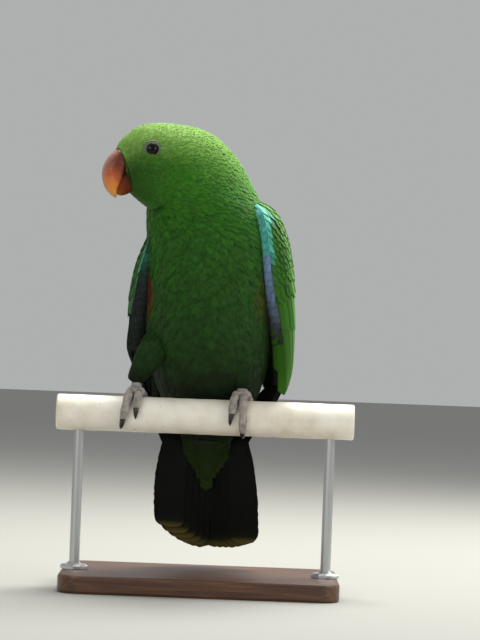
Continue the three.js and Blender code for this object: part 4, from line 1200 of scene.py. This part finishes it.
def wet_eye(tree):
    """Wet eye: black pupil, dark orange-brown iris, one sharp highlight."""
    parts = mark_parts(tree, "place")
    ring = add(tree, "ShaderNodeMapRange", {"Value": parts["X"], "From Max": 1.2})
    tone = add(
        tree, "ShaderNodeValToRGB", {"Fac": ring},
        stops=[
            (0.0, "#040303"), (0.44, "#050403"), (0.48, "#1a0d05"), (0.6, "#241207"), (0.7, "#0c0704"),
            (1.0, "#070504"),
        ],
    )
    return {"Base Color": tone, "Roughness": 0.07, "IOR": 1.36, "Specular IOR Level": 0.35}


def lid_skin(tree):
    """Bare skin of the lids: grey-green, finely creased, matt."""
    coords = add(tree, "ShaderNodeTexCoord").outputs["Object"]
    cells = add(tree, "ShaderNodeTexVoronoi", {"Vector": coords, "Scale": 1400.0})
    tone = add(tree, "ShaderNodeValToRGB", {"Fac": cells}, stops=[(0.0, "#76866a"), (0.6, "#52624a")])
    relief = add(tree, "ShaderNodeBump", {"Height": cells, "Strength": 0.4, "Distance": 0.15 * MM})
    return {"Base Color": tone, "Normal": relief, "Roughness": 0.6, "IOR": 1.45}


def foot_skin(tree):
    """Scaled skin of the feet: small plates about 1 mm across, pale grey with dark seams."""
    coords = add(tree, "ShaderNodeTexCoord").outputs["Object"]
    cells = add(
        tree, "ShaderNodeTexVoronoi", {"Vector": coords, "Scale": 900.0}, feature="DISTANCE_TO_EDGE",
    )
    dust = add(tree, "ShaderNodeTexNoise", {"Vector": coords, "Scale": 240.0, "Detail": 4.0})
    tone = add(
        tree, "ShaderNodeValToRGB", {"Fac": dust},
        stops=[(0.3, "#857c76"), (0.5, "#a69d96"), (0.75, "#beb4ab")],
    )
    seam = add(tree, "ShaderNodeMapRange", {"Value": cells, "From Max": 0.12, "To Min": 0.55})
    dark = add(tree, "ShaderNodeVectorMath", {0: tone, "Scale": seam}, operation="SCALE")
    relief = add(tree, "ShaderNodeBump", {"Height": seam, "Strength": 0.6, "Distance": 0.25 * MM})
    return {"Base Color": dark, "Normal": relief, "Roughness": 0.62, "IOR": 1.5}


def claw_horn(tree):
    """Claw horn: near black, worn to a soft shine."""
    coords = add(tree, "ShaderNodeTexCoord").outputs["Object"]
    streak = add(tree, "ShaderNodeTexNoise", {"Vector": coords, "Scale": 600.0})
    tone = add(tree, "ShaderNodeValToRGB", {"Fac": streak}, stops=[(0.3, "#141110"), (0.7, "#2b2623")])
    return {"Base Color": tone, "Roughness": 0.35, "IOR": 1.54}


def perch_paint(tree):
    """Old white paint brushed on a pole: cream, greyed by dirt in blotches, chipped in spots."""
    coords = add(tree, "ShaderNodeTexCoord").outputs["Object"]
    blotch = add(
        tree, "ShaderNodeTexNoise", {"Vector": coords, "Scale": 26.0, "Detail": 6.0, "Roughness": 0.65},
    )
    tone = add(
        tree, "ShaderNodeValToRGB", {"Fac": blotch},
        stops=[(0.28, "#d2c6b0"), (0.42, "#e8dfcd"), (0.55, "#f4eee0"), (0.8, "#faf6ec")],
    )
    specks = add(tree, "ShaderNodeTexNoise", {"Vector": coords, "Scale": 210.0, "Detail": 3.0})
    wear_and_highlight = add(
        tree, "ShaderNodeMapRange", {"Value": specks, "From Min": 0.68, "From Max": 0.8},
        interpolation_type="SMOOTHSTEP",
    )
    mixed = add(tree, "ShaderNodeMix", {0: wear_and_highlight, 6: tone, 7: linear("#8d8070")}, data_type="RGBA")
    relief = add(tree, "ShaderNodeBump", {"Height": specks, "Strength": 0.25, "Distance": 0.3 * MM})
    return {"Base Color": mixed.outputs[2], "Normal": relief, "Roughness": 0.5, "IOR": 1.5}


def oiled_walnut(tree):
    """Planed and oiled walnut board: straight grain 1 to 3 mm apart along its length."""
    coords = add(tree, "ShaderNodeTexCoord").outputs["Object"]
    stretched = add(tree, "ShaderNodeMapping", {"Vector": coords, "Scale": (6, 120, 120)})
    grain = add(
        tree, "ShaderNodeTexNoise", {"Vector": stretched, "Scale": 3.0, "Detail": 6.0, "Distortion": 0.6},
    )
    tone = add(
        tree, "ShaderNodeValToRGB", {"Fac": grain},
        stops=[(0.25, "#2e1a10"), (0.5, "#54331f"), (0.75, "#74492c")],
    )
    relief = add(tree, "ShaderNodeBump", {"Height": grain, "Strength": 0.15, "Distance": 0.2 * MM})
    return {
        "Base Color": tone, "Normal": relief, "Roughness": 0.42, "IOR": 1.5, "Coat Weight": 0.15,
        "Coat Roughness": 0.3,
    }


def brushed_steel(tree):
    """Brushed steel bar: fine rings left by the abrasive, about 0.5 mm apart here so that they
    show."""
    coords = add(tree, "ShaderNodeTexCoord").outputs["Object"]
    stretched = add(tree, "ShaderNodeMapping", {"Vector": coords, "Scale": (40, 40, 2000)})
    lines = add(tree, "ShaderNodeTexNoise", {"Vector": stretched, "Scale": 1.0, "Detail": 3.0})
    rough = add(tree, "ShaderNodeMapRange", {"Value": lines, "To Min": 0.24, "To Max": 0.42})
    return {"Base Color": linear("#c2c4c6"), "Metallic": 1.0, "Roughness": rough}


def core_painted_shade(tree):
    """Flesh and folded quills under the wing's feathers, seen only as a dull dark green gap that is painted
    shade.
    """
    coords = add(tree, "ShaderNodeTexCoord").outputs["Object"]
    cloud = add(tree, "ShaderNodeTexNoise", {"Vector": coords, "Scale": 200.0})
    tone = add(tree, "ShaderNodeValToRGB", {"Fac": cloud}, stops=[(0.3, "#0d1a10"), (0.7, "#16301c")])
    return {"Base Color": tone, "Roughness": 0.9, "IOR": 1.55}


def plain_floor(tree):
    """Matt painted floor, plain pale grey."""
    return {"Base Color": linear("#a4a4a0"), "Roughness": 0.9}


CONTOUR = material("contour_feathers", contour_feathers)
SHADED_DOWN = material("down", down)
SHADED_CORE = material("wing_down_painted_shade", core_painted_shade)
# Ramps run from the wing's outer edge (0) to its back (1), up the wing where along is Y, from
# root (0) to tip (1) on the tail, and band ramps up the wing
# The coverts' pale stop at 0.34 is a painted rim light where the wing's outline is seen from the front
COVERT = material("covert_feathers", vane_feathers(
    stops=[
        (0.0, "#3a6e1c"), (0.15, "#2e6610"), (0.26, "#2f6a12"), (0.34, "#5f9c3a"), (0.42, "#4c8e28"),
        (0.6, "#3f8a1c"), (1.0, "#2f6a1a"),
    ],
    band=[
        (0.5, "#2f4a3a"), (0.6, "#43584c"), (0.66, "#2c5448"), (0.8, "#386866"), (0.825, "#54b4a0"),
        (1.0, "#66c8b0"),
    ],
))
COVERT_UNDER = material("covert_undersides", vane_feathers([(0.0, "#1c3a22"), (1.0, "#20401c")], rough=0.6))
# The secondaries' pale stop at 0.3 is a painted rim light along the wing's outline
SECONDARY = material(
    "secondary_quills",
    vane_feathers([
        (0.0, "#2c5c10"), (0.16, "#34680f"), (0.3, "#5a9636"), (0.45, "#3f841e"), (1.0, "#2a6618"),
    ]),
)
PRIMARY = material(
    "primary_quills", vane_feathers([(0.0, "#0a2422"), (0.5, "#081a20"), (1.0, "#061018")], rough=0.6),
)
QUILL_UNDER = material("quill_undersides", vane_feathers([(0.0, "#101614"), (1.0, "#0c1210")], rough=0.5))
# The left edge's outer feathers are pale periwinkle as a painted highlight and its inner ones a darker
# painted-shade copy; the right wing's edge is a painted-shade copy of the same blue
WING_EDGE = {
    "l": material("wing_edge_blue_lit", vane_feathers(
        along="Y",
        stops=[
            (0.5, "#1a2c14"), (0.56, "#4a4a50"), (0.66, "#7c94b4"), (0.8, "#8aa6d0"), (0.825, "#64c2bc"),
            (1.0, "#6cccbc"),
        ],
        band=[
            (0.5, "#10180c"), (0.56, "#2a2022"), (0.66, "#2a2840"), (0.8, "#2c3864"), (0.825, "#50aaa8"),
            (1.0, "#60c0b8"),
        ],
    )),
    "r": material("wing_edge_shaded", vane_feathers(
        along="Y",
        stops=[
            (0.5, "#142419"), (0.6, "#2a382e"), (0.7, "#34383c"), (0.8, "#2c4238"), (0.85, "#35705c"),
            (0.9, "#2a5634"), (1.0, "#2f6a24"),
        ],
        band=[(0.5, "#0a120e"), (0.7, "#181824"), (0.8, "#10242a"), (0.86, "#1c544c"), (1.0, "#1f4a28")],
    )),
}
TAIL_UPPER = material(
    "tail_uppersides",
    vane_feathers(
        [
            (0.0, "#1f6a2c"), (0.6, "#1c6238"), (0.86, "#1a5a48"), (0.93, "#3f6a4a"), (0.96, "#b8a858"),
            (1.0, "#c8b868"),
        ],
        lines=44,
    ),
)
TAIL_UNDER = material(
    "tail_undersides",
    vane_feathers(
        [(0.0, "#030603"), (0.86, "#040704"), (0.92, "#14160a"), (0.955, "#4c4420"), (1.0, "#6a602c")],
        rough=0.6, lines=44,
    ),
)
TAIL_COVERT = material("tail_coverts", vane_feathers([(0.0, "#2f7a2a"), (1.0, "#2a6a2c")]))
UNDERTAIL = material("undertail_coverts", vane_feathers([(0.0, "#182a06"), (1.0, "#263c0a")], rough=0.7))
UPPER_HORN = material("upper_bill_horn", upper_horn)
LOWER_HORN = material("lower_bill_horn", lower_horn)
EYE_FINISH = material("wet_eye", wet_eye)
LID_SKIN = material("lid_skin", lid_skin)
FOOT_SKIN = material("foot_skin", foot_skin)
CLAW_HORN = material("claw_horn", claw_horn)
PERCH_PAINT = material("perch_paint", perch_paint)
WALNUT = material("oiled_walnut", oiled_walnut)
STEEL = material("brushed_steel", brushed_steel)
FLOOR = material("plain_floor", plain_floor)

# Build the bird, its perch and the stand's finishes

make_skin()
for side_name, out_sign in (("l", 1), ("r", -1)):
    make_wing(side_name)
    thigh_coat(side_name)
    make_foot(side_name)
    eyeball(side_name, out_sign)
    lids(side_name, out_sign)
    for toe_name, toe_shape in TOES[side_name].items():
        make_claw(side_name, toe_name, toe_shape)
make_tail()
bill_part("bill_upper_horn", UPPER_BILL, "bill_upper", UPPER_HORN)
bill_part("bill_lower_horn", LOWER_BILL, "bill_lower", LOWER_HORN, shrink=0.1)
# Stretch of the body, columns and rows of a feather, where it grows, and how many are tried
coat("coat_belly", 0.6, 4.2, 7, 5, lambda t, a: ~under_wing(t, a), 60000)
coat("coat_breast", 4.2, 6.8, 7, 5, lambda t, a: ~under_wing(t, a), 60000)
coat("coat_neck", 6.8, 9.4, 7, 4, lambda t, a: np.ones(t.shape, bool), 90000)
coat("coat_head", 9.4, 12.2, 5, 4, lambda t, a: eye_clear(body_point(t, a)), 120000)
coat("coat_face", 12.2, 13.95, 5, 3, lambda t, a: eye_clear(body_point(t, a)), 120000)
make_perch()
for node_name, finish in (("stand_base", WALNUT), ("stand_rod_l", STEEL), ("stand_rod_r", STEEL)):
    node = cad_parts[node_name]
    node.data.materials.clear()
    node.data.materials.append(finish)

# Stage: pale floor, soft light and the camera

# Millimetres and degrees; the distance is from the perch, and the height is what fits the picture
CAMERA = {"x": 24.1, "distance": 2400, "z": 212.6, "roll": 2.18, "sensor": 36, "height": 499.2}
# Half the side of the floor, and what the lights look at, in metres
FLOOR_REACH = 6.0
LIT_POINT = (0, 0, 0.22)

floor_mesh = bpy.data.meshes.new("floor")
corners = [(x * FLOOR_REACH, y * FLOOR_REACH, 0) for x, y in ((-1, -1), (1, -1), (1, 1), (-1, 1))]
floor_mesh.from_pydata(corners, [], [(0, 1, 2, 3)])
floor_mesh.materials.append(FLOOR)
floor = bpy.data.objects.new("floor", floor_mesh)
bpy.context.scene.collection.objects.link(floor)

world = bpy.data.worlds.new("studio")
bpy.context.scene.world = world
world.use_nodes = True
world.node_tree.nodes.clear()
sky = add(world.node_tree, "ShaderNodeBackground", {"Color": linear("#e4e6e6"), "Strength": 0.55})
add(world.node_tree, "ShaderNodeOutputWorld", {"Surface": sky})


def soft_light(name, place, size, power, colour):
    """Round area light that looks at the bird's breast, in metres and watts."""
    data = bpy.data.lights.new(name, "AREA")
    data.shape = "DISK"
    data.size = size
    data.energy = power
    data.color = linear(colour)[:3]
    light = bpy.data.objects.new(name, data)
    light.location = place
    light.rotation_mode = "QUATERNION"
    light.rotation_quaternion = (Vector(LIT_POINT) - Vector(place)).to_track_quat("-Z", "Y")
    bpy.context.scene.collection.objects.link(light)


soft_light("overhead", (0.15, 0.45, 1.45), 0.8, 32, "#fffdf6")
soft_light("front_fill", (-0.9, -1.6, 0.9), 1.2, 8, "#fffefa")
soft_light("side_fill", (1.3, -0.6, 0.7), 0.9, 7, "#ffffff")
soft_light("rim", (0.9, 0.95, 0.85), 0.7, 11, "#fffdf0")
bpy.context.scene.view_settings.view_transform = "Standard"

camera_data = bpy.data.cameras.new("camera")
camera_data.sensor_width = CAMERA["sensor"]
camera_data.lens = CAMERA["sensor"] * CAMERA["distance"] / CAMERA["height"]
camera = bpy.data.objects.new("camera", camera_data)
camera.location = (CAMERA["x"] * MM, (PERCH["y"] - CAMERA["distance"]) * MM, CAMERA["z"] * MM)
camera.rotation_euler = (math.pi / 2, math.radians(-CAMERA["roll"]), 0)
bpy.context.scene.collection.objects.link(camera)
bpy.context.scene.camera = camera

bpy.context.view_layer.update()
